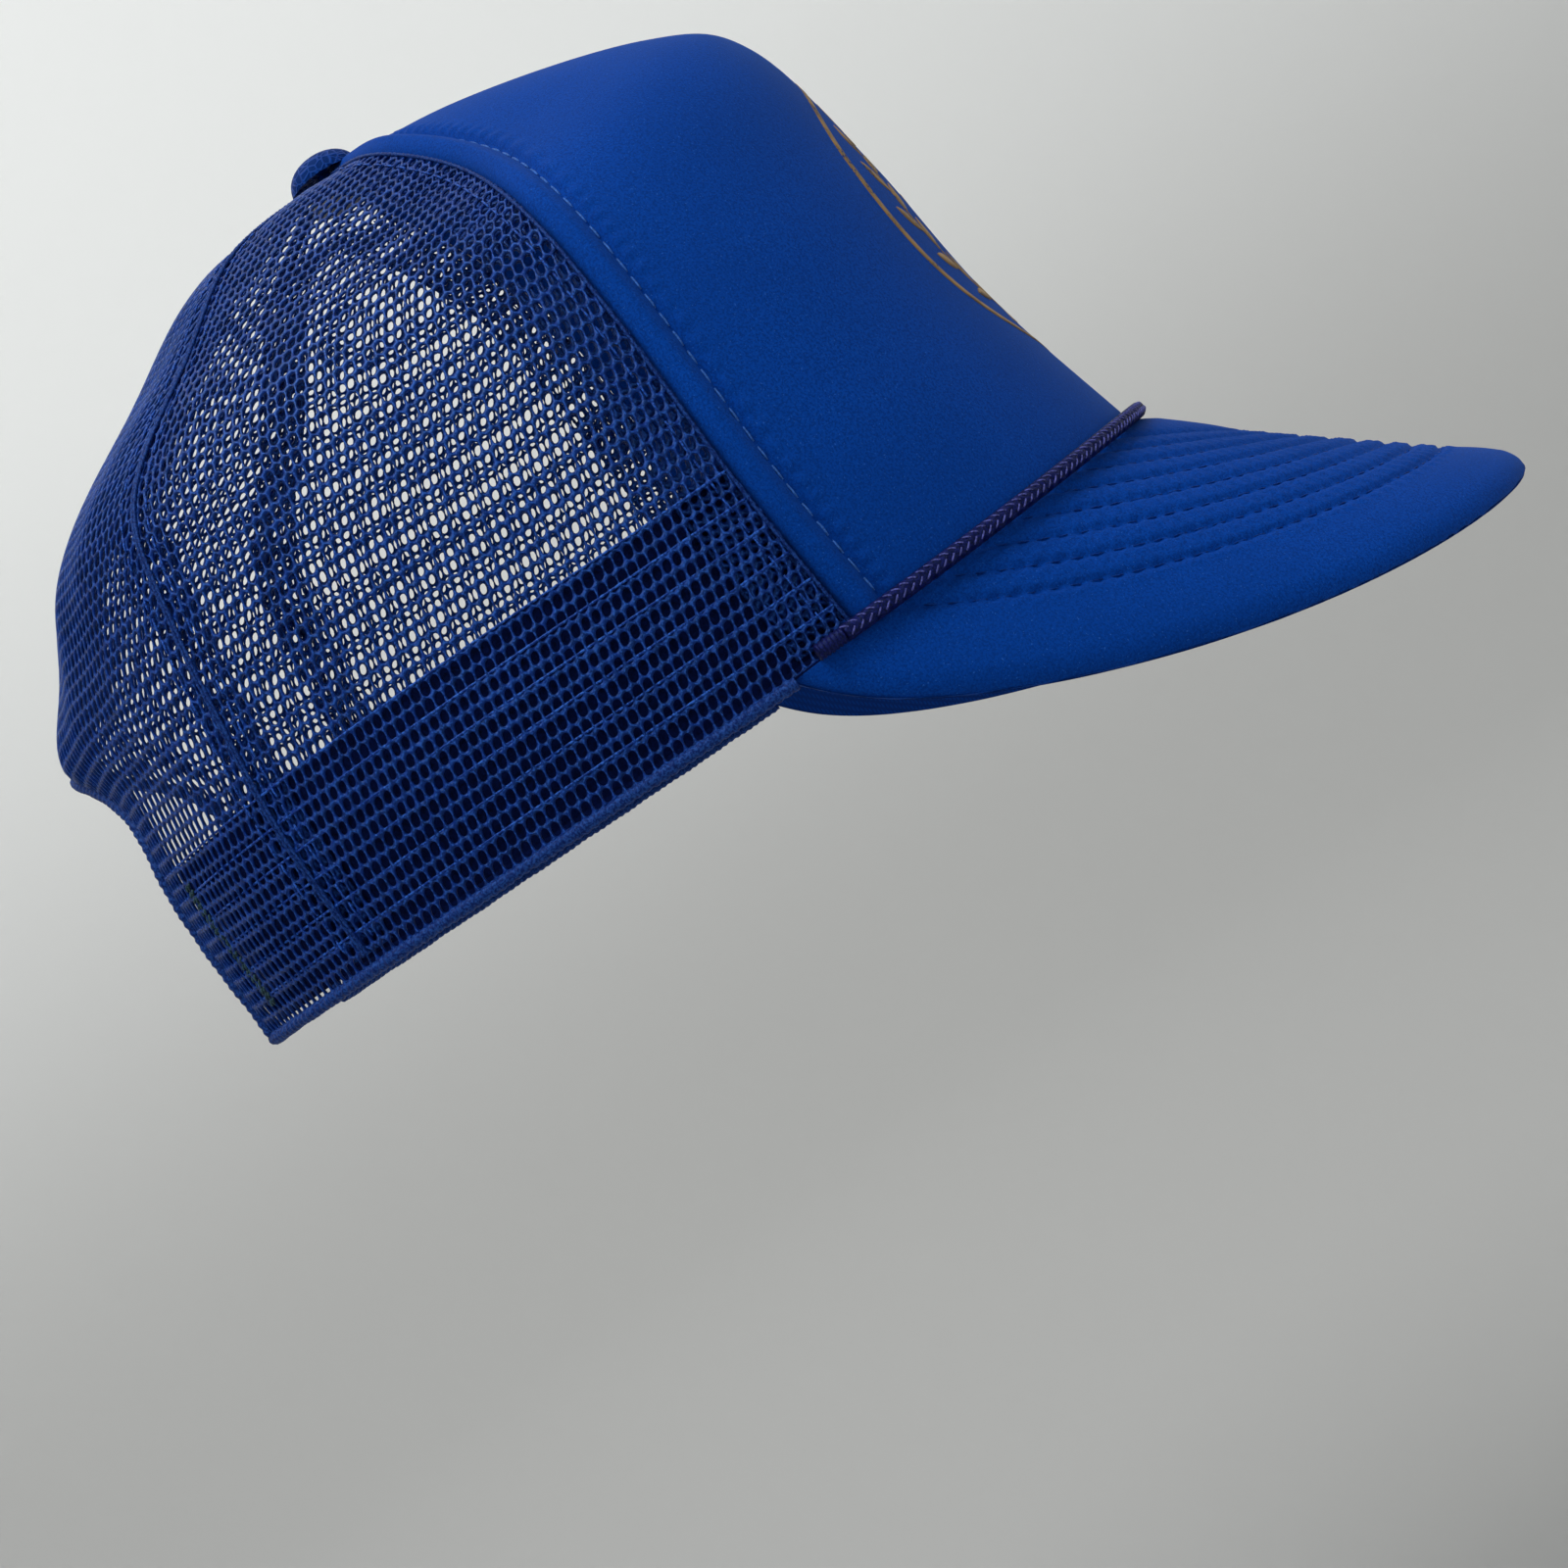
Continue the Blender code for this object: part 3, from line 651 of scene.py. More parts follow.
def scaled(shade, factor):
    return tuple(min(1.0, c * factor) for c in shade)


def foam_cloth():
    """Brushed cloth laminated to foam: a fine speckled nap over slow shade changes."""
    paint = Paint("foam_cloth", 0.82, Sheen_Weight=0.10, Sheen_Roughness=0.45,
                  Sheen_Tint=(0.1, 0.35, 1.0, 1.0), Specular_IOR_Level=0.18,
                  Specular_Tint=(0.15, 0.4, 1.0, 1.0))
    base = tint("foam")
    nap = paint.noise(2300, 3.0, 0.7)
    slow = paint.noise(22, 2.0)
    shade = paint.blend(paint.ramp(slow, 0.35, 0.7), scaled(base, 0.90), scaled(base, 1.08))
    grain = paint.blend(paint.ramp(nap, 0.36, 0.62), scaled(base, 0.62), shade)
    speck = paint.ramp(paint.noise(3100, 1.0), 0.68, 0.78)
    paint.base(paint.blend(speck * 0.5, grain, (0.04, 0.19, 0.70)))
    paint.rough(0.74 + nap * 0.16)
    paint.bump(nap, 0.00012, 0.6)
    return paint.material


def net_yarn():
    """Polyester net: dark strands with lighter, glassier loops where they cross; the loops' lighter
    colour is partly their own shade and partly a painted highlight.
    """
    paint = Paint("net_yarn", 0.38, Specular_IOR_Level=0.7,
                  Specular_Tint=(0.15, 0.4, 1.0, 1.0))
    ridge = paint.attribute("ridge")
    loops = paint.noise(1900, 2.0, 0.6)
    # mask of the crossings, lightened partly by their own shade and partly by a painted highlight for
    # glints
    knot_and_glint = paint.ramp(ridge, 0.35, 1.0) * paint.ramp(loops, 0.42, 0.62)
    base = paint.blend(paint.ramp(paint.noise(700, 2.0), 0.35, 0.65), scaled(tint("net"), 0.7),
                       scaled(tint("net"), 1.35))
    paint.base(paint.blend(knot_and_glint * 0.85, base, tint("knot_and_glint")))
    paint.rough(0.30 + loops * 0.25)
    paint.bump(paint.noise(2600, 2.0), 0.00008, 0.7)
    return paint.material


def rib_yarn():
    """Laid-in yarn of the net: light slanting filaments, whose light dashes are partly the yarn's own
    shade and partly a painted highlight.
    """
    paint = Paint("rib_yarn", 0.35, Specular_IOR_Level=0.6,
                  Specular_Tint=(0.2, 0.45, 1.0, 1.0))
    strands_and_glints = paint.noise(1500, 2.0, 0.6, (1.0, 1.0, 0.45))
    # light dashes along the ribs: partly the yarn's own shade, partly a painted highlight standing in
    # for glints
    paint.base(paint.blend(paint.ramp(strands_and_glints, 0.46, 0.62), scaled(tint("net"), 1.5),
                           scaled(tint("knot_and_glint"), 1.1)))
    paint.rough(0.28 + strands_and_glints * 0.3)
    paint.bump(strands_and_glints, 0.00012, 0.8)
    return paint.material


# Threads and cords: each one's two shades, as a colour's name and a factor, and its roughness.
YARNS = {
    "binding_thread": (("net", 0.8), ("knot_and_glint", 0.55), 0.55),
    "rope_yarn": (("rope", 0.6), ("rope", 2.2), 0.5),
    "rope_fleck": (("fleck", 0.5), ("fleck", 1.2), 0.45),
    "topstitch_thread": (("thread", 0.55), ("thread", 1.0), 0.4),
    "seam_thread": (("net", 1.2), ("knot_and_glint", 1.1), 0.4),
    "visor_thread": (("foam", 0.45), ("foam", 0.8), 0.5),
    "tack_thread": (("tack", 0.6), ("tack", 1.7), 0.55),
}


def yarn(name):
    """Thread or cord: fine filaments between two shades."""
    (dark, dark_share), (light, light_share), roughness = YARNS[name]
    paint = Paint(name, roughness, Specular_IOR_Level=0.3,
                  Specular_Tint=(0.3, 0.5, 1.0, 1.0))
    fibre = paint.noise(2400, 2.0, 0.6)
    paint.base(paint.blend(paint.ramp(fibre, 0.38, 0.64), scaled(tint(dark), dark_share),
                           scaled(tint(light), light_share)))
    paint.rough(roughness - 0.1 + fibre * 0.2)
    paint.bump(fibre, 0.00008, 0.7)
    return paint.material


def band_towelling():
    """Sweatband: looped towelling with faint ribs along the hem."""
    paint = Paint("band_towelling", 0.92, Sheen_Weight=0.1, Sheen_Tint=(0.1, 0.25, 0.9, 1.0),
                  Specular_IOR_Level=0.1)
    loops = paint.noise(1400, 3.0, 0.7)
    rib = paint.add("ShaderNodeTexWave", {"bands_direction": "Z"},
                    {"Vector": paint.places, "Scale": 58.0, "Distortion": 0.6,
                     "Detail Scale": 3.0}, "Fac")
    shade = paint.blend(paint.ramp(loops, 0.35, 0.65), scaled(tint("band"), 0.6),
                        scaled(tint("band"), 1.6))
    paint.base(paint.blend(rib * 0.35, shade, scaled(tint("band"), 2.4)))
    paint.rough(0.85 + loops * 0.12)
    paint.bump(loops + rib * 0.4, 0.0003, 0.6)
    return paint.material


def lining_cloth():
    """Visor lining: plain woven cloth."""
    paint = Paint("lining_cloth", 0.85, Specular_IOR_Level=0.1)
    base = scaled(tint("foam"), 0.75)
    warp = paint.add("ShaderNodeTexWave", {"bands_direction": "X"},
                     {"Vector": paint.places, "Scale": 420.0, "Distortion": 0.4}, "Fac")
    weft = paint.add("ShaderNodeTexWave", {"bands_direction": "Y"},
                     {"Vector": paint.places, "Scale": 420.0, "Distortion": 0.4}, "Fac")
    weave = warp * weft
    paint.base(paint.blend(paint.ramp(weave, 0.1, 0.6), scaled(base, 0.75), scaled(base, 1.1)))
    paint.rough(0.80 + weave * 0.12)
    paint.bump(weave, 0.00015, 0.6)
    return paint.material


def button_cloth():
    """Button cover: cloth of small raised cells, drawn tight over a shell."""
    paint = Paint("button_cloth", 0.6, Specular_IOR_Level=0.3,
                  Specular_Tint=(0.15, 0.4, 1.0, 1.0))
    base = scaled(tint("foam"), 0.62)
    cells = paint.add("ShaderNodeTexVoronoi", {"feature": "DISTANCE_TO_EDGE"},
                      {"Vector": paint.places, "Scale": 620.0}, "Distance")
    weave = paint.ramp(cells, 0.02, 0.16)
    paint.base(paint.blend(weave, scaled(base, 1.2), scaled(base, 0.6)))
    paint.rough(0.5 + weave * 0.3)
    paint.bump(1 - weave, 0.0002, 0.8)
    return paint.material


def strap_plastic():
    """Moulded strap: slightly cloudy plastic with a few scuffs."""
    paint = Paint("strap_plastic", 0.32, Specular_IOR_Level=0.5)
    cloud = paint.noise(90, 3.0)
    scuff = paint.ramp(paint.noise(420, 4.0, 0.6, (1.0, 1.0, 3.5)), 0.60, 0.72)
    shade = paint.blend(paint.ramp(cloud, 0.3, 0.7), scaled(tint("plastic"), 0.8),
                        scaled(tint("plastic"), 1.25))
    paint.base(paint.blend(scuff * 0.3, shade, scaled(tint("knot_and_glint"), 1.2)))
    paint.rough(0.26 + scuff * 0.25)
    paint.bump(cloud, 0.0001, 0.4)
    return paint.material


def board_plastic():
    """Visor board: rolled sheet with a faint grain."""
    paint = Paint("board_plastic", 0.6)
    grain = paint.noise(600, 3.0)
    paint.base(paint.blend(grain, (0.50, 0.50, 0.48), (0.66, 0.66, 0.63)))
    paint.rough(0.5 + grain * 0.2)
    return paint.material


def plated_metal():
    """Button backing: dull nickel plate."""
    paint = Paint("plated_metal", 0.3, Metallic=1.0)
    wear = paint.noise(500, 4.0, 0.6)
    paint.base(paint.blend(paint.ramp(wear, 0.4, 0.7), (0.55, 0.55, 0.54), (0.36, 0.34, 0.31)))
    paint.rough(0.22 + wear * 0.3)
    return paint.material


def gold_ink():
    """Printed gold: the cloth shows through where the ink has worn."""
    paint = Paint("gold_ink", 0.55, Specular_IOR_Level=0.5)
    fine = paint.noise(1700, 3.0, 0.6)
    patch = paint.noise(160, 3.0)
    gold = tint("gold")
    paint.base(paint.blend(paint.ramp(patch, 0.35, 0.65), scaled(gold, 0.65), scaled(gold, 1.15)))
    paint.alpha(paint.ramp(fine + patch * 0.55, 0.58, 0.70))
    paint.rough(0.42 + fine * 0.3)
    return paint.material


def stage_paper():
    """Seamless backdrop paper, with painted shade: darker on the floor and lighter up the wall."""
    paint = Paint("stage_paper", 0.95, Specular_IOR_Level=0.1)
    # painted shade: colour runs from dark at the floor to light higher up the wall, standing in for
    # light from above
    paint.base(paint.blend(paint.ramp(paint.height(), -0.30, 0.75), (0.46, 0.46, 0.45),
                           (0.93, 0.94, 0.93)))
    paint.rough(0.9 + paint.noise(40, 4.0) * 0.1)
    return paint.material


MAKERS = {maker.__name__: maker for maker in (
    foam_cloth, net_yarn, rib_yarn, band_towelling, lining_cloth, button_cloth, strap_plastic,
    board_plastic, plated_metal, gold_ink, stage_paper)}


# Net cloth --------------------------------------------------------------------------------------

def staggered_cells(bm, columns, rows, left, look, shift):
    """Adds a flat sheet of six-sided cells, every second row moved by half a cell."""
    made = bmesh.ops.create_grid(bm, x_segments=2 * columns, y_segments=rows, size=0.5)["verts"]
    keys = {v: (round((v.co.x + 0.5) * 2 * columns), round((v.co.y + 0.5) * rows)) for v in made}
    spare = []
    for edge in bm.edges:
        (i, j), (k, m) = (keys[v] for v in edge.verts)
        if i == k and (i + min(j, m)) % 2 == 1 and len(edge.link_faces) == 2:
            spare.append(edge)
    for v, (i, j) in keys.items():
        point = look.cap if (i + j) % 2 == 0 else -look.cap
        v.co = (left + (i / 2 - 1) * look.pitch + shift, (j - 1) * look.row + point, 0)
    bmesh.ops.dissolve_edges(bm, edges=spare, use_verts=False, use_face_split=False)
    bmesh.ops.subdivide_edges(bm, edges=bm.edges[:], cuts=1)


def open_holes(bm, look, scale, ridge):
    """Opens a rounded, leaning hole in every cell, with small differences between holes."""
    cells = list(bm.faces)
    for v in bm.verts:
        v[ridge] = 1.0
    bmesh.ops.inset_individual(bm, faces=cells, thickness=0.0001, use_even_offset=False)
    for cell in cells:
        centre = cell.calc_center_median()
        lively = noise.noise(Vector((centre.x / (6 * MM), centre.y / (6 * MM), 0.5)))
        row = round(centre.y / look.row)
        size = scale * (1 + 0.05 * (-1) ** row + 0.09 * lively)
        half_width = look.hole_width / 2 * size
        half_height = look.hole_height / 2 * size
        for v in cell.verts:
            away = v.co - centre
            turn = math.atan2(away.y / half_height, away.x / half_width)
            x = half_width * math.copysign(abs(math.cos(turn)) ** 0.86, math.cos(turn))
            y = half_height * math.copysign(abs(math.sin(turn)) ** 0.92, math.sin(turn))
            v.co = (centre.x + x - look.lean * y, centre.y + y, 0)
            v[ridge] = 0.0
    bmesh.ops.delete(bm, geom=cells, context="FACES_ONLY")


def shear(bm, line, way):
    """Moves each point sideways by the line's x at its height."""
    for v in bm.verts:
        v.co.x += way * float(line(v.co.y))


def trim(bm, line, keep_right):
    """Cuts the flat cloth along a line that runs up it and keeps one side."""
    shear(bm, line, -1)
    everything = bm.verts[:] + bm.edges[:] + bm.faces[:]
    bmesh.ops.bisect_plane(bm, geom=everything, dist=1e-7, plane_co=(0, 0, 0),
                           plane_no=(1, 0, 0), clear_inner=keep_right, clear_outer=not keep_right)
    shear(bm, line, 1)


def trim_level(bm, height, keep_above):
    everything = bm.verts[:] + bm.edges[:] + bm.faces[:]
    bmesh.ops.bisect_plane(bm, geom=everything, dist=1e-7, plane_co=(0, height, 0),
                           plane_no=(0, 1, 0), clear_inner=keep_above, clear_outer=not keep_above)


def crumple(panel, x, y):
    """Outward height of soft gathers that die away towards the panel's edges."""
    amount = 0.9 * MM if panel.size()[0] < BACK_NET_WIDEST else 0.45 * MM
    to_edge = np.minimum(np.minimum(x - panel.left(y), panel.right(y) - x),
                         np.minimum(y, panel.y[-1] - y))
    calm = np.clip(to_edge / (9 * MM), 0, 1)
    folds = np.sin(x / (2.9 * MM) + 1.4 * np.sin(y / (21 * MM))) + np.sin(y / (7.5 * MM))
    return amount * calm * (0.5 + 0.25 * folds)


def net_cloth(name, panel, side, depth, replaces, scale=1.0, shift=0.0):
    """Net cut to a panel's outline, given its thickness and laid on the crown."""
    look = net_look()
    left = panel.low_x.min()
    columns = int((panel.high_x.max() - left) / look.pitch) + 3
    rows = int(panel.y[-1] / look.row) + 3
    bm = bmesh.new()
    ridge = bm.verts.layers.float.new("ridge")
    staggered_cells(bm, columns, rows, left, look, shift)
    open_holes(bm, look, scale, ridge)
    trim(bm, panel.left, True)
    trim(bm, panel.right, False)
    trim_level(bm, 0.0, True)
    trim_level(bm, panel.y[-1], False)
    loose = [v for v in bm.verts if not v.link_faces]
    bmesh.ops.delete(bm, geom=loose, context="VERTS")
    grown = bmesh.ops.extrude_face_region(bm, geom=bm.faces[:])["geom"]
    outer = {g for g in grown if isinstance(g, bmesh.types.BMVert)}
    verts = bm.verts[:]
    flat = np.array([v.co[:2] for v in verts])
    raised = np.array([v[ridge] for v in verts])
    out = np.array([v in outer for v in verts])
    roundness = look.thickness * 0.30 * (1 - raised)
    down = depth + np.where(out, roundness, look.thickness - roundness)
    if panel.size()[0] > TAPE_WIDEST:
        down = down - crumple(panel, flat[:, 0], flat[:, 1])
    flat[:, 0] += 0.20 * MM * np.sin(flat[:, 1] / (6 * MM) + np.sin(flat[:, 0] / (9 * MM)))
    flat[:, 1] += 0.16 * MM * np.sin(flat[:, 0] / (8 * MM)) * (flat[:, 1] > MM)
    angle, share = panel.crown_place(flat[:, 0], flat[:, 1])
    places = under_crown(angle, share, down)
    places[:, 0] *= side
    set_places(verts, places)
    bmesh.ops.remove_doubles(bm, verts=bm.verts[:], dist=1e-6)
    piece = finish_piece(name, bm, finish("net_yarn"), replaces=replaces)
    panel.size()
    panel.area()
    return piece


def seam_tape(name, panel, side, node):
    """Folded strip of net along the inside of a seam."""
    return net_cloth(name, panel, side, TAPE_DEPTH, [node], TAPE_HOLE_SCALE,
                     TAPE_SHIFT)


# Lines of rolled edges: the seam each one follows and its distance from it in millimetres.
FOLDS = ((FRONT_SEAM, 11.0), (FRONT_SEAM, 1.0), (BACK_SEAM, -4.9), (BACK_SEAM, 4.9))
CORDS = ((FRONT_SEAM, 0.7), (BACK_SEAM, -0.35), (BACK_SEAM, 0.35))


class CAP_OT_crown_net(bpy.types.Operator):
    """Knits the four net panels of the crown and the folded strips inside their seams"""

    bl_idname = "cap.crown_net"
    bl_label = "Crown net"

    def execute(self, context):
        cloth = panels()
        gap = SEAM_GAP / 2
        front_tape = Panel(seam_beside(FRONT_SEAM, gap),
                           seam_beside(FRONT_SEAM, FRONT_TAPE_WIDTH),
                           FRONT_SEAM + 0.05, TAPE_FIRST, STRIP_TOP)
        side_tape = Panel(seam_beside(BACK_SEAM, -SIDE_TAPE_HALF_WIDTH),
                          seam_beside(BACK_SEAM, SIDE_TAPE_HALF_WIDTH),
                          BACK_SEAM, TAPE_FIRST, STRIP_TOP)
        arch_top = float(arch_edge(np.array([math.pi / 2]), 0.0)[1][0])
        back_tape = Panel(seam_beside(math.pi, -BACK_TAPE_HALF_WIDTH),
                          seam_beside(math.pi, BACK_TAPE_HALF_WIDTH),
                          math.pi, arch_top, STRIP_TOP)
        for hand, side in HANDS:
            for part in ("side", "back"):
                net_cloth(f"{part}_net_{hand}", cloth[part], side, NET_DEPTH,
                          [f"{part}_panel_{hand}"])
            for part, tape in (("front", front_tape), ("side", side_tape)):
                seam_tape(f"{part}_seam_tape_{hand}", tape, side, f"{part}_seam_strip_{hand}")
        seam_tape("back_seam_tape", back_tape, 1, "back_seam_strip")
        for hand, side in HANDS:
            self.add_cords("tape_folds_" + hand, FOLDS, side, FOLD_DEPTH, STRIP_TOP,
                           "mesh_strip")
            self.add_cords("seam_cords_" + hand, CORDS, side, CORD_DEPTH, CORD_TOP,
                           "crown_mesh")
        return {"FINISHED"}

    def add_cords(self, name, lines, side, depth, last, slot):
        """Rolled edges of the strips under the net, or of the net where it meets at a seam."""
        bm = bmesh.new()
        for angle, width in lines:
            points, out = seam_line(angle, width * MM, TAPE_FIRST, last, depth, CORD_POINTS)
            points, total = resample(points, CORD_POINTS)
            to_side(side, points, out)
            add_tube(bm, points, out, 6, twisted(CORD_RADIUS, total, 2, 1.5 * MM, 0.3))
        finish_piece(name, bm, finish("binding_thread"))


def seam_line(angle, width, first, last, depth, count):
    """Places and outward directions of a line beside a seam, at even shares of the way up."""
    share = np.linspace(first, last, count)
    return crown_line(seam_beside(angle, width)(share), share, depth)


def twisted(radius, length, lobes, pitch, swell):
    """Radius of a cord whose strands wind about it once in a pitch."""
    def reach(a, turn):
        return radius * (1 + swell * np.cos(lobes * turn + 2 * math.pi * a * length / pitch))
    return reach


class CAP_OT_net_ribs(bpy.types.Operator):
    """Lays the ribbed yarns that run round the lower net, over the sweatband"""

    bl_idname = "cap.net_ribs"
    bl_label = "Net ribs"

    def execute(self, context):
        look = net_look()
        spacing = 2 * look.row
        count = int(BAND_HEIGHT / spacing) + 1
        end = float(angle_at_width(ARCH_HALF_WIDTH + 1.0 * MM, 0.2))
        angle = np.linspace(FRONT_SEAM + 0.01, end, RIB_POINTS)
        for hand, side in HANDS:
            bm = bmesh.new()
            for k in range(1, count + 1):
                height = k * spacing + 0.5 * MM
                if height > BAND_HEIGHT + 0.5 * MM:
                    continue
                points, out = crown_line(angle, share_at_height(angle, height), RIB_DEPTH)
                points, total = resample(points, RIB_POINTS)
                to_side(side, points, out)
                add_tube(bm, points, out, 6, twisted(look.rib_radius, total, 2, 1.6 * MM, 0.22))
            finish_piece("net_ribs_" + hand, bm, finish("rib_yarn"))
        return {"FINISHED"}


# Foam front -------------------------------------------------------------------------------------

def dense_ends(share, amount=0.62):
    """Moves even shares towards both ends."""
    return share - amount * np.sin(2 * math.pi * share) / (2 * math.pi)


def front_relief(panel, x, y):
    """Height of the foam's outer face over the plain crown: rolled welts and puckered grooves."""
    look = thread_look()
    to_seam = np.minimum(x - panel.left(y), panel.right(y) - x)
    phase = 2 * math.pi * y / look.pitch
    pucker = 0.5 + 0.5 * np.cos(phase)
    welt = 1.25 * np.exp(-((to_seam - 3.1 * MM) / (1.7 * MM)) ** 2)
    groove = (1.00 + 0.50 * pucker) * np.exp(-((to_seam - look.inset) / (0.9 * MM)) ** 2)
    ripple = 0.50 * (pucker - 0.5) * np.exp(-((to_seam - look.inset - 1.6 * MM) / (1.6 * MM)) ** 2)
    edge = 1.3 * np.clip(1 - to_seam / (1.6 * MM), 0, 1) ** 2
    hem = 0.7 * np.clip(1 - y / (3.0 * MM), 0, 1) ** 2
    slow = 0.35 * np.sin(x / (17 * MM) + 0.7) * np.sin(y / (26 * MM) + 0.4)
    calm = np.clip((to_seam - 9 * MM) / (12 * MM), 0, 1)
    return (welt - groove + ripple - edge - hem + slow * calm) * MM


class CAP_OT_front_panel(bpy.types.Operator):
    """Shapes the foam front with its rolled seams"""

    bl_idname = "cap.front_panel"
    bl_label = "Foam front"

    def execute(self, context):
        panel = panels()["front"]

        def flat(a, b):
            y = b * panel.y[-1]
            left, right = panel.left(y), panel.right(y)
            return left + (right - left) * dense_ends(a), y

        def outer(a, b):
            x, y = flat(a, b)
            return under_crown(*panel.crown_place(x, y), -front_relief(panel, x, y))

        def inner(a, b):
            x, y = flat(a, b)
            return under_crown(*panel.crown_place(x, y), np.full_like(x, FOAM_THICKNESS))

        bm = bmesh.new()
        add_cloth(bm, 190, 180, outer, inner)
        piece = finish_piece("foam_front", bm, finish("foam_cloth"),
                             replaces=["front_panel"], sharp=60)
        panel.size()
        panel.area()
        return {"FINISHED"}


class CAP_OT_topstitching(bpy.types.Operator):
    """Sews the rows of stitches beside the crown's seams and across the strap's ends"""

    bl_idname = "cap.topstitching"
    bl_label = "Topstitching"

    def execute(self, context):
        look = thread_look()
        rows = {
            "front_topstitching": (FRONT_SEAM, -look.inset, 0.02, 0.93, 0.85, "topstitch_thread"),
            "front_seam_stitching": (FRONT_SEAM, 4.2 * MM, 0.02, 0.90, 0.1, "seam_thread"),
            "side_seam_stitching_front": (BACK_SEAM, -3.6 * MM, 0.02, 0.90, 0.1, "seam_thread"),
            "side_seam_stitching_back": (BACK_SEAM, 3.6 * MM, 0.02, 0.90, 0.1, "seam_thread"),
        }
        for name, (angle, width, first, last, depth, thread) in rows.items():
            bm = bmesh.new()
            for _, side in HANDS:
                points, out = seam_line(angle, width, first, last, depth * MM, 60)
                to_side(side, points, out)
                add_stitch_row(bm, points, out, look)
            finish_piece(name, bm, finish(thread))
        self.sew_tacks(look)
        return {"FINISHED"}

    def sew_tacks(self, look):
        bm = bmesh.new()
        for _, side in HANDS:
            for offset in (0.0, 0.9 * MM):
                height = np.linspace(4 * MM, 31 * MM, 30)
                width = np.full_like(height, ARCH_HALF_WIDTH + 8.6 * MM + offset)
                share = share_at_height(angle_at_width(width, 0.1), height)
                points, out = crown_line(angle_at_width(width, share), share, 0.0)
                to_side(side, points, out)
                add_stitch_row(bm, points, out, look, 1.3 * MM, 1.1 * MM, 0.40 * MM, 0.27 * MM)
        finish_piece("strap_tacks", bm, finish("tack_thread"))


# Emblem -----------------------------------------------------------------------------------------

class CAP_OT_emblem(bpy.types.Operator):
    """Prints a plain ring, a wreath and a star on the front in gold ink"""

    bl_idname = "cap.emblem"
    bl_label = "Emblem"

    centre = (0.0, 0.056)

    def execute(self, context):
        panel = panels()["front"]
        bm = bmesh.new()
        self.add_mark(bm, panel, 120, self.ring)
        self.add_mark(bm, panel, 90, self.star)
        for side in (-1, 1):
            self.add_mark(bm, panel, 60, self.stem(side))
            for k in range(14):
                self.add_mark(bm, panel, 12, self.leaf(side, k))
        finish_piece("front_emblem", bm, finish("gold_ink"))
        return {"FINISHED"}

    def add_mark(self, bm, panel, segments, outline):
        def layer(depth):
            def place(a, b):
                x, y = outline(a, b)
                x = x + self.centre[0]
                y = y + self.centre[1]
                relief = front_relief(panel, x, y)
                return under_crown(*panel.crown_place(x, y), depth - relief)
            return place

        add_cloth(bm, segments, 2, layer(-0.10 * MM), layer(0.02 * MM))
        bmesh.ops.remove_doubles(bm, verts=bm.verts[:], dist=1e-6)

    @staticmethod
    def ring(a, b):
        turn = 2 * math.pi * a
        radius = RING_RADIUS + RING_WIDTH * b
        return radius * 1.04 * np.sin(turn), radius * 0.96 * np.cos(turn)

    @staticmethod
    def star(a, b):
        turn = 2 * math.pi * a
        corner = np.abs((a * 5) % 1 - 0.5) * 2
        tip, notch = STAR_TIP, STAR_NOTCH
        spread = math.pi / 5
        off = spread * (1 - corner)
        edge = tip * notch * math.sin(spread) / (notch * np.sin(spread - off) + tip * np.sin(off))
        radius = edge * (1 - 0.26 * b)
        return radius * np.sin(turn), radius * np.cos(turn) + 1 * MM

    @staticmethod
    def stem(side):
        def place(a, b):
            turn = np.radians(180 - 150 * a)
            radius = WREATH_RADIUS + (b - 0.5) * 0.9 * MM * (1.2 - a)
            return side * radius * np.sin(turn), radius * np.cos(turn)
        return place

    @staticmethod
    def leaf(side, k):
        """Every second leaf points to the other side of the stem."""
        turn = math.radians(168 - 20 * (k // 2) - 10 * (k % 2))
        lean = turn - math.pi / 2 + (0.55 if k % 2 else -0.55)

        def place(a, b):
            run = (a * 0.98 + 0.01) * LEAF_LENGTH
            width = LEAF_HALF_WIDTH * np.sin(math.pi * (a * 0.98 + 0.01)) ** 0.8 * (2 * b - 1)
            x = WREATH_RADIUS * math.sin(turn) + run * math.sin(lean) + width * math.cos(lean)
            y = WREATH_RADIUS * math.cos(turn) + run * math.cos(lean) - width * math.sin(lean)
            return side * x, y
        return place


# Sweatband --------------------------------------------------------------------------------------

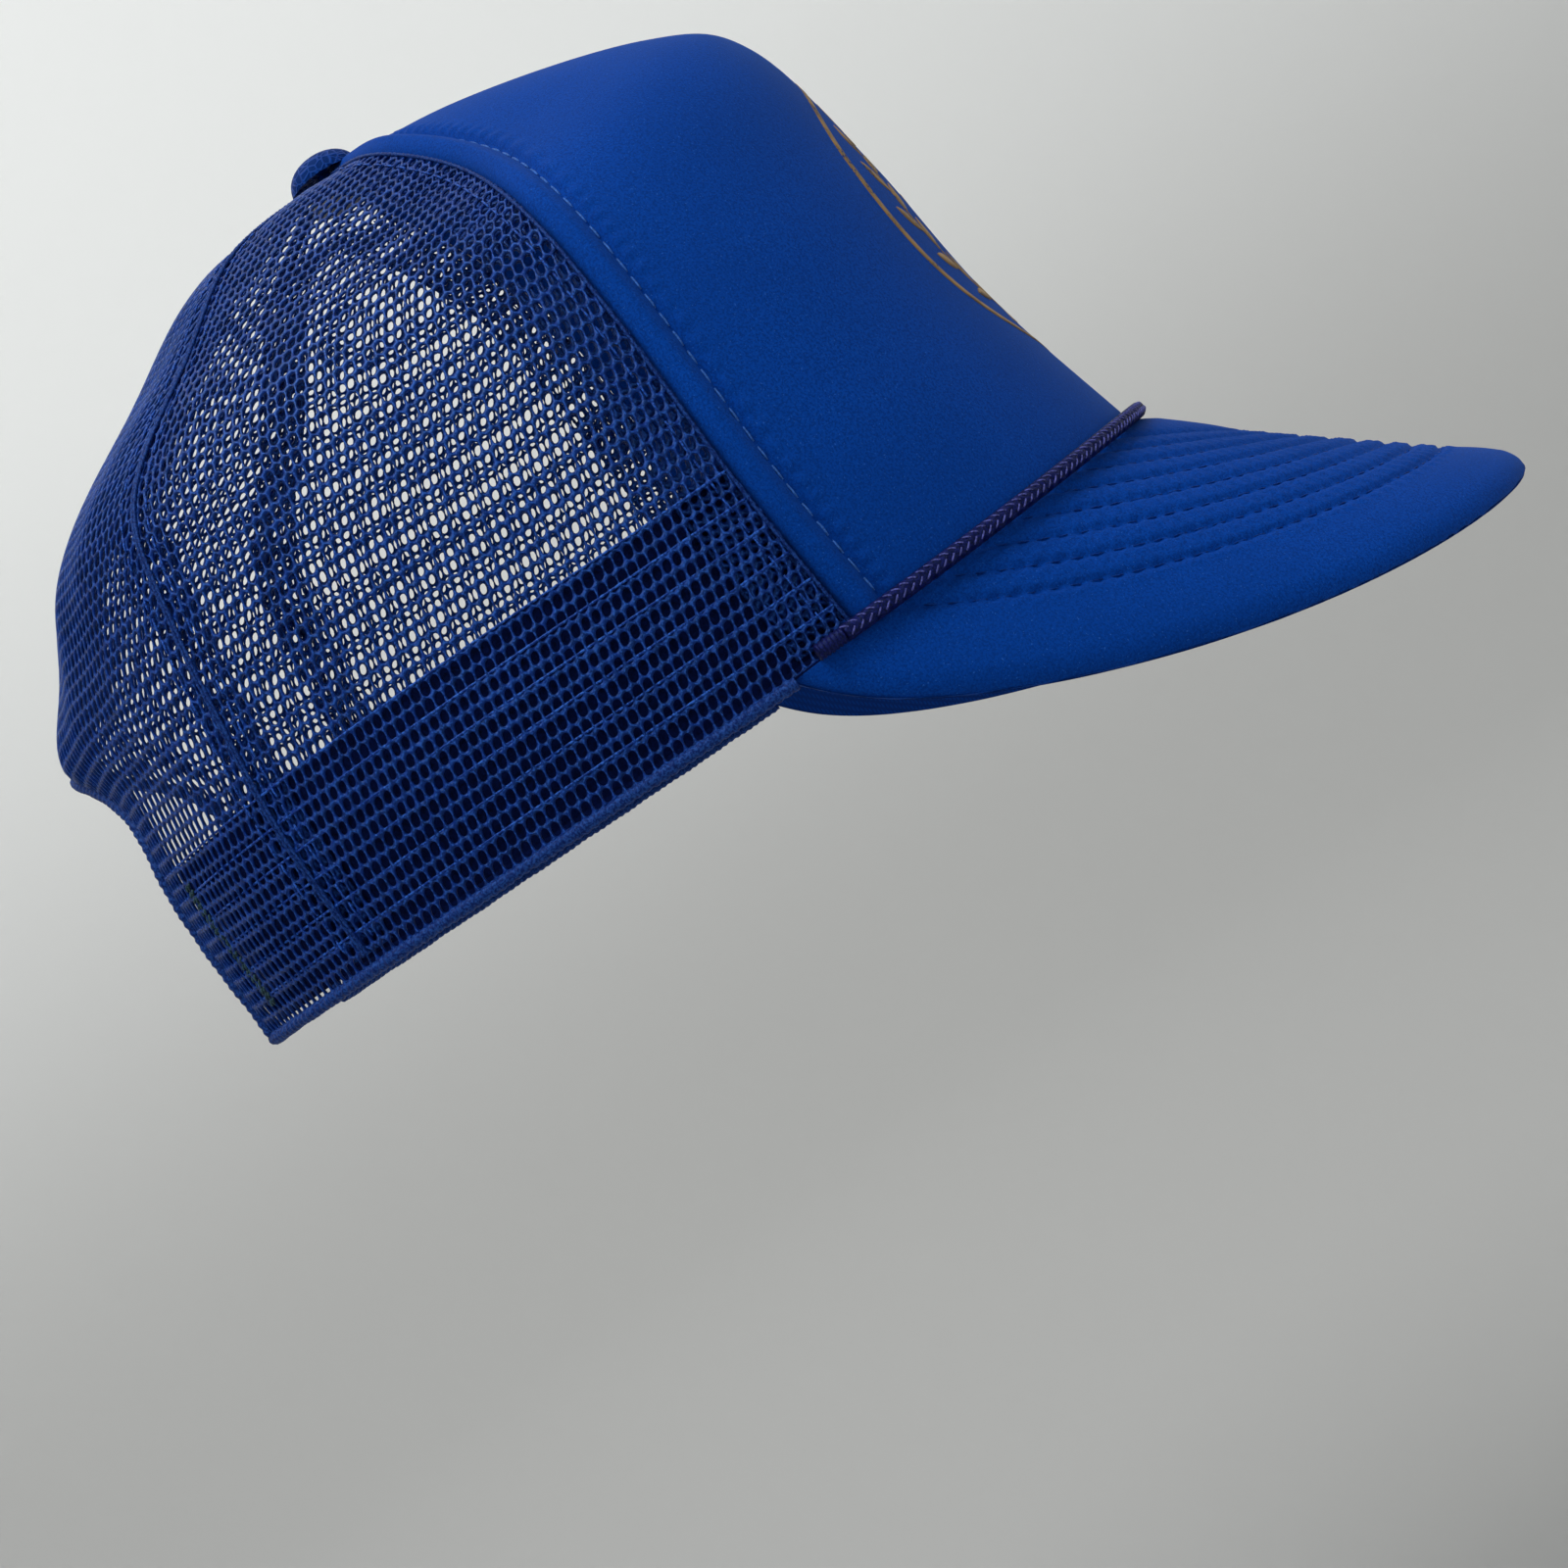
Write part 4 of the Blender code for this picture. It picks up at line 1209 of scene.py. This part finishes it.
class CAP_OT_sweatband(bpy.types.Operator):
    """Makes the folded sweatband with its rolled upper edge and its stitching"""

    bl_idname = "cap.sweatband"
    bl_label = "Sweatband"

    def execute(self, context):
        end = float(angle_at_width(ARCH_HALF_WIDTH + 0.3 * MM, 0.1))

        def place(a, b, depth):
            angle = -end + 2 * end * a
            low = share_at_height(angle, BAND_LIFT)
            high = share_at_height(angle, BAND_HEIGHT)
            return under_crown(angle, low + (high - low) * b, depth)

        def outer(a, b):
            rolled = 0.5 * np.clip(1 - (1 - b) / 0.05, 0, 1) ** 2
            wave = 0.12 * np.sin(2 * math.pi * b * 6.2) + 0.10 * np.sin(a * 140)
            return place(a, b, BAND_DEPTH + (rolled - 0.12 + np.maximum(0, -wave)) * MM)

        def inner(a, b):
            fat = 1.4 + 0.35 * np.sin(math.pi * np.clip(b, 0, 1)) ** 0.5
            stitch = 0.35 * np.exp(-((b - 0.1) / 0.03) ** 2) * (0.6 + 0.4 * np.cos(a * 900))
            return place(a, b, BAND_DEPTH + (fat - stitch) * MM)

        bm = bmesh.new()
        add_cloth(bm, 300, 26, outer, inner)
        piece = finish_piece("sweatband_towelling", bm, finish("band_towelling"),
                             replaces=["sweatband"], sharp=70)
        angle = np.linspace(-end, end, 400)
        line = crown(angle, share_at_height(angle, BAND_HEIGHT / 2))
        bm = bmesh.new()
        look = thread_look()
        for height in (4.2 * MM, BAND_HEIGHT - 2.2 * MM):
            angle = np.linspace(-end + 0.01, end - 0.01, 240)
            share = share_at_height(angle, height)
            points, out = crown_line(angle, share, BAND_DEPTH + 1.72 * MM)
            add_stitch_row(bm, points, -out, look, 3.6 * MM, 2.6 * MM)
        finish_piece("sweatband_stitching", bm, finish("seam_thread"))
        return {"FINISHED"}


# Bindings and rope ------------------------------------------------------------------------------

def overlock(radius, length, pitch):
    """Radius of a bound edge: threads wrapped over it at a slant, a little uneven."""
    def reach(a, turn):
        run = a * length
        wrap = np.cos(2 * math.pi * run / pitch + turn)
        uneven = 0.05 * np.sin(run / (3.1 * MM)) + 0.04 * np.sin(run / (1.3 * MM) + 1)
        return radius * (0.94 + 0.10 * wrap + uneven)
    return reach


class CAP_OT_bindings(bpy.types.Operator):
    """Overlocks the hem and the edge of the arch"""

    bl_idname = "cap.bindings"
    bl_label = "Bound edges"

    def execute(self, context):
        radius = BINDING_RADIUS
        corner = math.asin(VISOR_HALF_WIDTH / HEM_SIDE)
        start = corner - float(turn_for(np.array(corner), np.array(0.0), 0.4 * radius))
        end = float(angle_at_width(ARCH_HALF_WIDTH - 1.4 * radius, 0.0))
        for hand, side in HANDS:
            angle = np.linspace(start, end, 90)
            points, out = crown_line(angle, np.zeros_like(angle), BINDING_DEPTH)
            points[:, 2] -= radius - 0.35 * MM
            self.bind("hem_overlock_" + hand, points, out, side, ["hem_binding_" + hand])
        turn = np.linspace(0, math.pi / 2, 40)
        rise = np.linspace(0, 1, 24)[:-1] * arch_edge(np.zeros(1), radius)[1][0]
        upright = angle_at_width(np.full_like(rise, ARCH_HALF_WIDTH - radius), rise)
        over_angle, over_share = arch_edge(turn, radius)
        half_angle = np.concatenate([upright, over_angle])
        half_share = np.concatenate([rise, over_share])
        angle = np.concatenate([half_angle, -half_angle[-2::-1]])
        share = np.concatenate([half_share, half_share[-2::-1]])
        points, out = crown_line(angle, share, BINDING_DEPTH)
        self.bind("arch_overlock", points, out, 1, ["arch_binding"])
        return {"FINISHED"}

    def bind(self, name, points, out, side, replaces):
        line, total = resample(points, BINDING_POINTS)
        normals = spread_out(out, BINDING_POINTS)
        to_side(side, line, normals)
        bm = bmesh.new()
        add_tube(bm, line, normals, 10, overlock(BINDING_RADIUS, total, 1.7 * MM))
        finish_piece(name, bm, finish("binding_thread"), replaces=replaces)


def rope_line(angle):
    """Places and outward directions of the rope's middle."""
    seat = crown(angle, np.zeros_like(angle))
    out = crown_normal(angle, np.zeros_like(angle))
    out[:, 2] = 0
    out = unit(out)
    return seat + out * ROPE_SEAT_OUT + np.array([0, 0, ROPE_SEAT_UP]), out


class CAP_OT_rope(bpy.types.Operator):
    """Braids the rope along the brim, with its flecks and its wrapped ends"""

    bl_idname = "cap.rope"
    bl_label = "Brim rope"

    def execute(self, context):
        points, out = rope_line(np.linspace(-ROPE_HALF_ANGLE, ROPE_HALF_ANGLE, ROPE_POINTS))
        points, total = resample(points, ROPE_POINTS)

        def braid(a, turn):
            run = 2 * math.pi * a * total / (3.0 * MM)
            over = np.maximum(np.cos(3 * turn + run), np.cos(3 * turn - run))
            return ROPE_RADIUS * (0.90 + 0.14 * over)

        bm = bmesh.new()
        add_tube(bm, points, out, 18, braid)
        finish_piece("brim_rope_braid", bm, finish("rope_yarn"),
                     replaces=["brim_rope"])
        self.add_flecks(points, out, total)
        for hand, side in HANDS:
            start = ROPE_HALF_ANGLE + 0.004
            end = start + float(turn_for(np.array(start), np.array(0.0), WHIPPING_LENGTH))
            wrap, away = rope_line(np.linspace(start, end, 40))
            to_side(side, wrap, away)
            bm = bmesh.new()
            add_tube(bm, wrap, away, 12, twisted(WHIPPING_RADIUS, WHIPPING_LENGTH, 1,
                                            0.8 * MM, 0.08))
            finish_piece("rope_whipping_" + hand, bm, finish("rope_yarn"),
                         replaces=["rope_end_wrap_" + hand])
        return {"FINISHED"}

    def add_flecks(self, points, out, total):
        """Two rows of short yarns that slant towards each other on the rope's outer side."""
        ahead, normal, side = path_frame(points, out)
        pitch = 1.8 * MM
        bm = bmesh.new()
        for k in range(int(total / pitch) - 1):
            for row, tilt in ((-1, 0.42), (1, -0.42)):
                at = int((k + 0.5 + 0.25 * row) * pitch / total * (len(points) - 1))
                around = math.radians(28) * row - math.radians(14)
                lift = normal[at] * math.cos(around) + side[at] * math.sin(around)
                tangent = side[at] * math.cos(around) - normal[at] * math.sin(around)
                centre = points[at] + lift * ROPE_RADIUS * 1.02
                reach = ahead[at] * 0.58 * MM + tangent * tilt * 1.1 * MM
                add_stitch(bm, centre - reach, centre + reach, lift, 0.17 * MM, 0.8)
        finish_piece("brim_rope_flecks", bm, finish("rope_fleck"))


# Visor ------------------------------------------------------------------------------------------

def hem_line(x):
    """The visor's inner edge: the hem in front of the head opening."""
    part = np.minimum(np.abs(x) / HEM_SIDE, 1.0)
    facing = np.sqrt(1 - part ** 2)
    return np.stack([x, -HEM_FRONT * facing, FRONT_RISE * facing ** 2], axis=-1)


def visor_plain(x, reach):
    """The visor's plain upper face, at a reach ahead of the hem."""
    slope = VISOR_SLOPE + VISOR_SIDE_SLOPE * (x / VISOR_HALF_WIDTH) ** 2
    ahead = np.stack([np.zeros_like(x), -np.cos(slope), -np.sin(slope)], axis=-1)
    return hem_line(x) + reach[..., None] * ahead


def visor_place(x, reach, depth):
    """Places at a depth under the visor's plain upper face."""
    step = 0.0005
    across = visor_plain(x + step, reach) - visor_plain(x - step, reach)
    ahead = visor_plain(x, reach + step) - visor_plain(x, reach - step)
    return visor_plain(x, reach) + unit(np.cross(across, ahead)) * depth[..., None]


def visor_reach(x, margin):
    """How far ahead of the hem the visor's outline reaches, less a margin."""
    part = np.minimum(np.abs(x) / (VISOR_HALF_WIDTH - margin), 1.0)
    return (VISOR_LENGTH - margin) * (1 - part ** VISOR_SHARPNESS) ** (1 / VISOR_SHARPNESS)


def visor_rim():
    """Points along the visor's outer edge and their distances along it."""
    turn = np.linspace(-math.pi / 2, math.pi / 2, 900)
    power = 2 / VISOR_SHARPNESS
    x = VISOR_HALF_WIDTH * np.sign(np.sin(turn)) * np.abs(np.sin(turn)) ** power
    points = visor_plain(x, VISOR_LENGTH * np.abs(np.cos(turn)) ** power)
    points, total = resample(points, 700)
    return points, np.linspace(0, total, 700)


def visor_margin(x, reach):
    """Distance in from the visor's edge, and how far along the edge its nearest point is."""
    rim, run = visor_rim()
    points = visor_plain(x, reach)
    margin = np.empty(len(points))
    nearest = np.empty(len(points))
    for first in range(0, len(points), 4000):
        some = slice(first, first + 4000)
        apart = np.linalg.norm(points[some, None, :] - rim[None, :, :], axis=2)
        margin[some] = apart.min(axis=1)
        nearest[some] = run[apart.argmin(axis=1)]
    return margin, nearest


def visor_row(margin):
    """Places across and ahead of a stitched row that keeps a distance from the visor's edge."""
    x = VISOR_HALF_WIDTH * np.sin(np.linspace(-math.pi / 2, math.pi / 2, 240))
    low = np.zeros_like(x)
    high = visor_reach(x, 0)
    for _ in range(14):
        middle = (low + high) / 2
        inside = visor_margin(x, middle)[0] > margin
        low = np.where(inside, middle, low)
        high = np.where(inside, high, middle)
    kept = low > 1.0 * MM
    return x[kept], low[kept]


def visor_relief(x, reach, margin, run):
    """Height of the quilted cover over the plain visor."""
    look = thread_look()
    last = look.first_row + (look.rows - 1) * look.row_gap
    row = np.clip(np.rint((margin - look.first_row) / look.row_gap), 0, look.rows - 1)
    wave = np.cos(2 * math.pi * run / (4.1 * MM) + row * 2.1)
    off = margin - look.first_row - row * look.row_gap + 0.16 * MM * wave
    groove = (0.78 + 0.34 * wave) * np.exp(-(off / (0.72 * MM)) ** 2)
    ripple = 0.22 * wave * np.exp(-((np.abs(off) - 1.5 * MM) / (0.9 * MM)) ** 2)
    puff = 1.2 * (1 - np.exp(-np.maximum(margin - last - MM, 0) / (5 * MM)))
    puff = puff * np.clip(reach / (5 * MM), 0, 1) ** 0.5
    swell = 0.35 * np.exp(-((margin - look.first_row * 0.5) / (5 * MM)) ** 2)
    return (puff + swell - groove + ripple) * MM


def lining_depth(margin):
    """Depth of the lining's outer face, thinner towards the visor's edge."""
    return VISOR_DEPTH - 2.6 * MM * np.clip(1 - margin / (14 * MM), 0, 1) ** 1.5


def rolled_rim(margin):
    """Depth under the flat level of cloth that rolls round the visor's edge."""
    part = np.clip(1 - margin / RIM_WIDTH, 0, 1)
    return RIM_DROP * (1 - np.sqrt(np.maximum(1 - part ** 2, 0)))


class CAP_OT_visor(bpy.types.Operator):
    """Covers the visor board with quilted cloth above and lining below, and sews the rows"""

    bl_idname = "cap.visor"
    bl_label = "Visor"

    def execute(self, context):
        self.cover("visor_quilted_cover", "visor_top_cover", "foam_cloth", "visor_foam", True)
        self.cover("visor_lined_underside", "visor_bottom_cover", "lining_cloth",
                   "visor_lining", False)
        self.cut_board()
        self.sew()
        return {"FINISHED"}

    def grid_place(self, a, b):
        x = VISOR_HALF_WIDTH * np.sin((a - 0.5) * math.pi)
        near = VISOR_NEAR
        far = np.maximum(visor_reach(x, 0), near + 0.2 * MM)
        even = b + 0.16 * np.sin(math.pi * b) * b
        return x, near + (far - near) * even

    def cover(self, name, node, cloth, slot, top):
        def outer(a, b):
            x, reach = self.grid_place(a, b)
            margin, run = visor_margin(x, reach)
            relief = visor_relief(x, reach, margin, run)
            if top:
                calm = np.clip((margin - MM) / (3 * MM), 0, 1)
                return visor_place(x, reach, rolled_rim(margin) - relief * calm)
            quilted = np.minimum(relief * 0.5, 0)
            return visor_place(x, reach, lining_depth(margin) + quilted)

        def inner(a, b):
            x, reach = self.grid_place(a, b)
            margin = visor_margin(x, reach)[0]
            shut = np.clip(1 - (reach - VISOR_NEAR) / VISOR_SHUT_REACH, 0, 1)
            if top:
                thick = VISOR_COVER_THICKNESS + MM * shut
                return visor_place(x, reach, np.maximum(thick, rolled_rim(margin) + 0.1 * MM))
            depth = lining_depth(margin) - MM
            shut = 1.1 * MM * shut
            return visor_place(x, reach, np.clip(depth, 2.95 * MM, 4.4 * MM - shut))

        bm = bmesh.new()
        add_cloth(bm, 280, 115, outer, inner)
        piece = finish_piece(name, bm, finish(cloth), replaces=[node])

    def cut_board(self):
        def face(depth):
            def place(a, b):
                x = (VISOR_HALF_WIDTH - BOARD_MARGIN) * np.sin((a - 0.5) * math.pi)
                span = visor_reach(x, BOARD_MARGIN) - BOARD_START
                reach = BOARD_START + b * np.maximum(span, 0.2 * MM)
                return visor_place(x, reach, np.full_like(x, depth))
            return place

        bm = bmesh.new()
        add_cloth(bm, 90, 24, face(BOARD_TOP), face(BOARD_UNDERSIDE))
        finish_piece("visor_board_sheet", bm, finish("board_plastic"),
                     replaces=["visor_board"], sharp=40)

    def sew(self):
        look = thread_look()
        for name, top in (("visor_stitching", True), ("visor_stitching_below", False)):
            bm = bmesh.new()
            for row in range(look.rows):
                margin = look.first_row + row * look.row_gap
                x, reach = visor_row(margin)
                level = 0.60 * MM if top else VISOR_DEPTH - 0.30 * MM
                points = visor_place(x, reach, np.full_like(x, level))
                other = visor_place(x, reach, np.full_like(x, level + 1 * MM))
                out = unit(points - other) * (1 if top else -1)
                add_stitch_row(bm, points, out, look, 4.1 * MM, 2.6 * MM, 0, 0.13 * MM)
            finish_piece(name, bm, finish("visor_thread"))


# Button -----------------------------------------------------------------------------------------

class CAP_OT_button(bpy.types.Operator):
    """Turns the cloth-covered button and gathers its rim"""

    bl_idname = "cap.button"
    bl_label = "Top button"

    def execute(self, context):
        low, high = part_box("top_button")
        radius = high.x
        top = high.z
        rim = CROWN_HEIGHT - 0.8 * MM
        seat = CROWN_HEIGHT + 0.3 * MM
        shank = 1.4 * MM
        profile = [(0, low.z), (shank, low.z), (shank, seat), (radius * 0.9, seat),
                   (radius * 0.96, rim + 0.1 * MM)]
        for k in range(15):
            turn = math.pi / 2 * k / 14
            profile.append((radius * math.cos(turn) ** 0.86,
                            rim + (top - rim) * math.sin(turn) ** 1.05))
        bm = lathe(profile, 72, 1e-6)
        for v in bm.verts:
            away = math.hypot(v.co.x, v.co.y)
            if away > shank * 1.5 and v.co.z > rim - MM:
                fold = math.cos(18 * math.atan2(v.co.y, v.co.x))
                weight = (away / radius) ** 6
                v.co.z += 0.10 * MM * fold * weight
                v.co.xy = v.co.xy * (1 - 0.012 * weight * (1 + fold))
        finish_piece("button_cloth_cover", bm, finish("button_cloth"),
                     replaces=["top_button"], sharp=50)
        return {"FINISHED"}


# Snap strap -------------------------------------------------------------------------------------

def strap_seat():
    """How far back the strap's sewn ends are."""
    angle = angle_at_width(ARCH_HALF_WIDTH, np.array(0.0))
    share = share_at_height(angle, STRAP_HEM_GAP + STRAP_WIDTH / 2)
    return float(crown(angle_at_width(ARCH_HALF_WIDTH, share), share)[..., 1])


def strap_place(x, z, depth):
    """Places at a height above the hem on the curve that the strap follows."""
    x = np.asarray(x, float)
    y = strap_seat() - depth + STRAP_BOW * (1 - (x / STRAP_EDGE) ** 2)
    return np.stack([x, y + 0 * z, z + 0 * x], axis=-1)


def strap_holes(low, high):
    """Places across of the holes, or the pegs, between a strap's ends."""
    margin = 4.0 * MM
    first = math.ceil((low + margin) / PEG_PITCH)
    last = math.floor((high - margin) / PEG_PITCH)
    return [i * PEG_PITCH for i in range(first, last + 1)]


def add_strap(bm, start, end, depth, pierced):
    """Adds a strap with a rounded free end, pierced with round holes or left whole."""
    low, high = min(start, end), max(start, end)
    middle = STRAP_HEM_GAP + STRAP_WIDTH / 2
    half = STRAP_WIDTH / 2
    cell = PEG_PITCH / 8
    columns = round((high - low) / cell)
    made = bmesh.ops.create_grid(bm, x_segments=columns, y_segments=16, size=0.5)["verts"]
    a, b = grid_shares(made)
    x = low + (high - low) * a
    z = (2 * b - 1) * half
    for v, flat_x, flat_z in zip(made, x, z):
        v.co = (flat_x, flat_z, 0)
    if pierced:
        for centre in strap_holes(low, high):
            pierce(bm, centre, STRAP_HOLE_RADIUS)
    grown = bmesh.ops.extrude_face_region(bm, geom=bm.faces[:])["geom"]
    top = {g for g in grown if isinstance(g, bmesh.types.BMVert)}
    verts = bm.verts[:]
    flat = np.array([v.co[:2] for v in verts])
    out = np.array([v in top for v in verts])
    to_end = (flat[:, 0] - end) * math.copysign(1, start - end)
    past = 1 - np.clip(to_end / STRAP_END_RADIUS, 0, 1)
    narrow = np.sqrt(np.clip(1 - past ** 2, 0.02, 1))
    edge = np.abs(flat[:, 1]) / half
    thin = 0.16 * MM * np.clip((edge - 0.90) / 0.10, 0, 1)
    level = np.where(out, depth + thin, depth + STRAP_THICKNESS - thin)
    set_places(verts, strap_place(flat[:, 0], middle + flat[:, 1] * narrow, level))


def pierce(bm, centre, radius):
    """Opens a round hole about the grid's middle line."""
    inside = [v for v in bm.verts if math.hypot(v.co.x - centre, v.co.y) < radius * 0.92]
    bmesh.ops.delete(bm, geom=inside, context="VERTS")
    for v in bm.verts:
        away = math.hypot(v.co.x - centre, v.co.y)
        if v.is_boundary and away < radius * 1.75:
            v.co.x = centre + (v.co.x - centre) * radius / away
            v.co.y = v.co.y * radius / away


def add_peg(bm, x, low, high):
    """Adds a round peg with a domed head, square to the strap where it stands."""
    height = STRAP_HEM_GAP + STRAP_WIDTH / 2
    base = strap_place(np.array(x), height, low)
    tip = strap_place(np.array(x), height, high)
    share = np.array([0, 0.25, 0.5, 0.62, 0.7, 0.8, 0.9, 0.97, 1.0])
    radii = np.array([1.75, 1.5, 1.45, 1.5, 1.72, 1.78, 1.6, 1.15, 0.5]) * MM
    points = base + (tip - base) * share[:, None]
    out = np.repeat(np.array([[0.0, 0.0, 1.0]]), len(share), axis=0)

    def reach(a, turn):
        return radii[np.rint(a * (len(radii) - 1)).astype(int)]

    add_tube(bm, points, out, 20, reach)


class CAP_OT_snap_strap(bpy.types.Operator):
    """Moulds the two halves of the snap strap and finishes the frame's plastic parts"""

    bl_idname = "cap.snap_strap"
    bl_label = "Snap strap"

    def execute(self, context):
        bm = bmesh.new()
        add_strap(bm, -STRAP_EDGE, STRAP_REACH, STRAP_DEPTH, True)
        finish_piece("hole_strap_plastic", bm, finish("strap_plastic"), "hole_strap",
                     ["strap_with_holes"], 40)
        inner = STRAP_DEPTH + STRAP_THICKNESS + STRAP_HALVES_GAP
        bm = bmesh.new()
        add_strap(bm, STRAP_EDGE, -STRAP_REACH, inner, False)
        for x in strap_holes(-STRAP_REACH, STRAP_EDGE):
            add_peg(bm, x, inner + STRAP_THICKNESS / 2, STRAP_DEPTH - PEG_STAND_OUT)
        finish_piece("peg_strap_plastic", bm, finish("strap_plastic"), "peg_strap",
                     ["strap_with_pegs"], 40)
        paints = {"strap_tab_right": "strap_plastic", "strap_tab_left": "strap_plastic",
                  "button_backing": "plated_metal"}
        for node, paint in paints.items():
            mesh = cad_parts[node].data
            mesh.materials.clear()
            mesh.materials.append(finish(paint))
        return {"FINISHED"}


# Stage ------------------------------------------------------------------------------------------

class CAP_OT_stage(bpy.types.Operator):
    """Sets the seamless backdrop, the soft lights and the camera"""

    bl_idname = "cap.stage"
    bl_label = "Stage"

    eye = Vector((-0.44978, -0.00303, -0.00459))
    sight = Vector((0.99967643, -0.01131965, -0.02277924))

    def execute(self, context):
        self.set_backdrop()
        self.set_camera(context)
        self.set_lights(context)
        return {"FINISHED"}

    def set_backdrop(self):
        """A shallow bowl: a flat floor that curves up into a round wall."""
        floor, radius, bend, wall = -0.30, 2.2, 0.9, 3.0
        profile = [(0.0, floor), (0.6, floor), (radius - bend, floor)]
        for k in range(1, 13):
            turn = math.pi / 2 * k / 12
            profile.append((radius - bend + bend * math.sin(turn),
                            floor + bend * (1 - math.cos(turn))))
        profile.append((radius, wall))
        bm = lathe(profile, 96, 1e-5)
        bmesh.ops.recalc_face_normals(bm, faces=bm.faces)
        bmesh.ops.reverse_faces(bm, faces=bm.faces)
        new_object("backdrop", bm, finish("stage_paper"))

    def set_camera(self, context):
        look = context.scene.cap_stage
        level = self.sight.cross(Vector((0, 0, 1))).normalized()
        upright = level.cross(self.sight)
        right = level * math.cos(look.roll) + upright * math.sin(look.roll)
        up = right.cross(self.sight)
        turn = Matrix((right, up, -self.sight)).transposed().to_4x4()
        data = bpy.data.cameras.new("camera")
        data.sensor_fit = "HORIZONTAL"
        data.sensor_width = 36.0
        data.angle = look.view_angle
        data.clip_start = 0.01
        data.clip_end = 30.0
        camera = bpy.data.objects.new("camera", data)
        camera.matrix_world = Matrix.Translation(self.eye) @ turn
        context.scene.collection.objects.link(camera)
        context.scene.camera = camera

    def add_light(self, context, name, place, power, size, shade, aim=(0, 0, 0)):
        data = bpy.data.lights.new(name, "AREA")
        data.shape = "DISK"
        data.size = size
        data.energy = power
        data.color = shade
        lamp = bpy.data.objects.new(name, data)
        lamp.location = place
        sight = Vector(aim) - Vector(place)
        lamp.rotation_euler = sight.to_track_quat("-Z", "Y").to_euler()
        lamp.visible_camera = False
        context.scene.collection.objects.link(lamp)

    def set_lights(self, context):
        look = context.scene.cap_stage
        self.add_light(context, "key_light", (-0.55, 0.25, 1.25), look.key, 0.9, (1, 1, 1))
        self.add_light(context, "fill_light", (-1.3, -0.5, 0.1), look.fill, 1.2,
                       (0.94, 0.97, 1.0))
        self.add_light(context, "wall_light", (0.9, 0.3, 1.5), look.wall, 1.9, (1, 1, 1),
                       (2.2, 0.1, 0.55))
        world = bpy.data.worlds.new("room")
        world.use_nodes = True
        sky = world.node_tree.nodes["Background"]
        sky.inputs["Color"].default_value = (0.97, 0.985, 1.0, 1.0)
        sky.inputs["Strength"].default_value = look.sky
        context.scene.world = world
        context.scene.view_settings.view_transform = "Standard"


# Add-on -----------------------------------------------------------------------------------------

STEPS = (CAP_OT_stage, CAP_OT_front_panel, CAP_OT_crown_net, CAP_OT_net_ribs,
         CAP_OT_topstitching, CAP_OT_emblem, CAP_OT_sweatband, CAP_OT_bindings, CAP_OT_rope,
         CAP_OT_visor, CAP_OT_button, CAP_OT_snap_strap)
SETTINGS = {"cap_net": CapNet, "cap_thread": CapThread, "cap_colours": CapColours,
            "cap_stage": CapStage}


class CAP_PT_panel(bpy.types.Panel):
    """Lists the cap's settings and pieces"""

    bl_idname = "CAP_PT_panel"
    bl_label = "Trucker Mesh Cap"
    bl_space_type = "VIEW_3D"
    bl_region_type = "UI"
    bl_category = "Cap"

    def draw(self, context):
        for name, group in SETTINGS.items():
            box = self.layout.box()
            box.label(text=group.__doc__)
            for field in group.__annotations__:
                box.prop(getattr(context.scene, name), field)
        for step in STEPS:
            self.layout.operator(step.bl_idname)


CLASSES = (*SETTINGS.values(), *STEPS, CAP_PT_panel)


def register():
    for item in CLASSES:
        bpy.utils.register_class(item)
    for name, group in SETTINGS.items():
        setattr(bpy.types.Scene, name, PointerProperty(type=group))


def unregister():
    for name in SETTINGS:
        delattr(bpy.types.Scene, name)
    for item in reversed(CLASSES):
        bpy.utils.unregister_class(item)


def main():
    register()
    for step in STEPS:
        group, name = step.bl_idname.split(".")
        getattr(getattr(bpy.ops, group), name)()


if __name__ == "__main__":
    main()
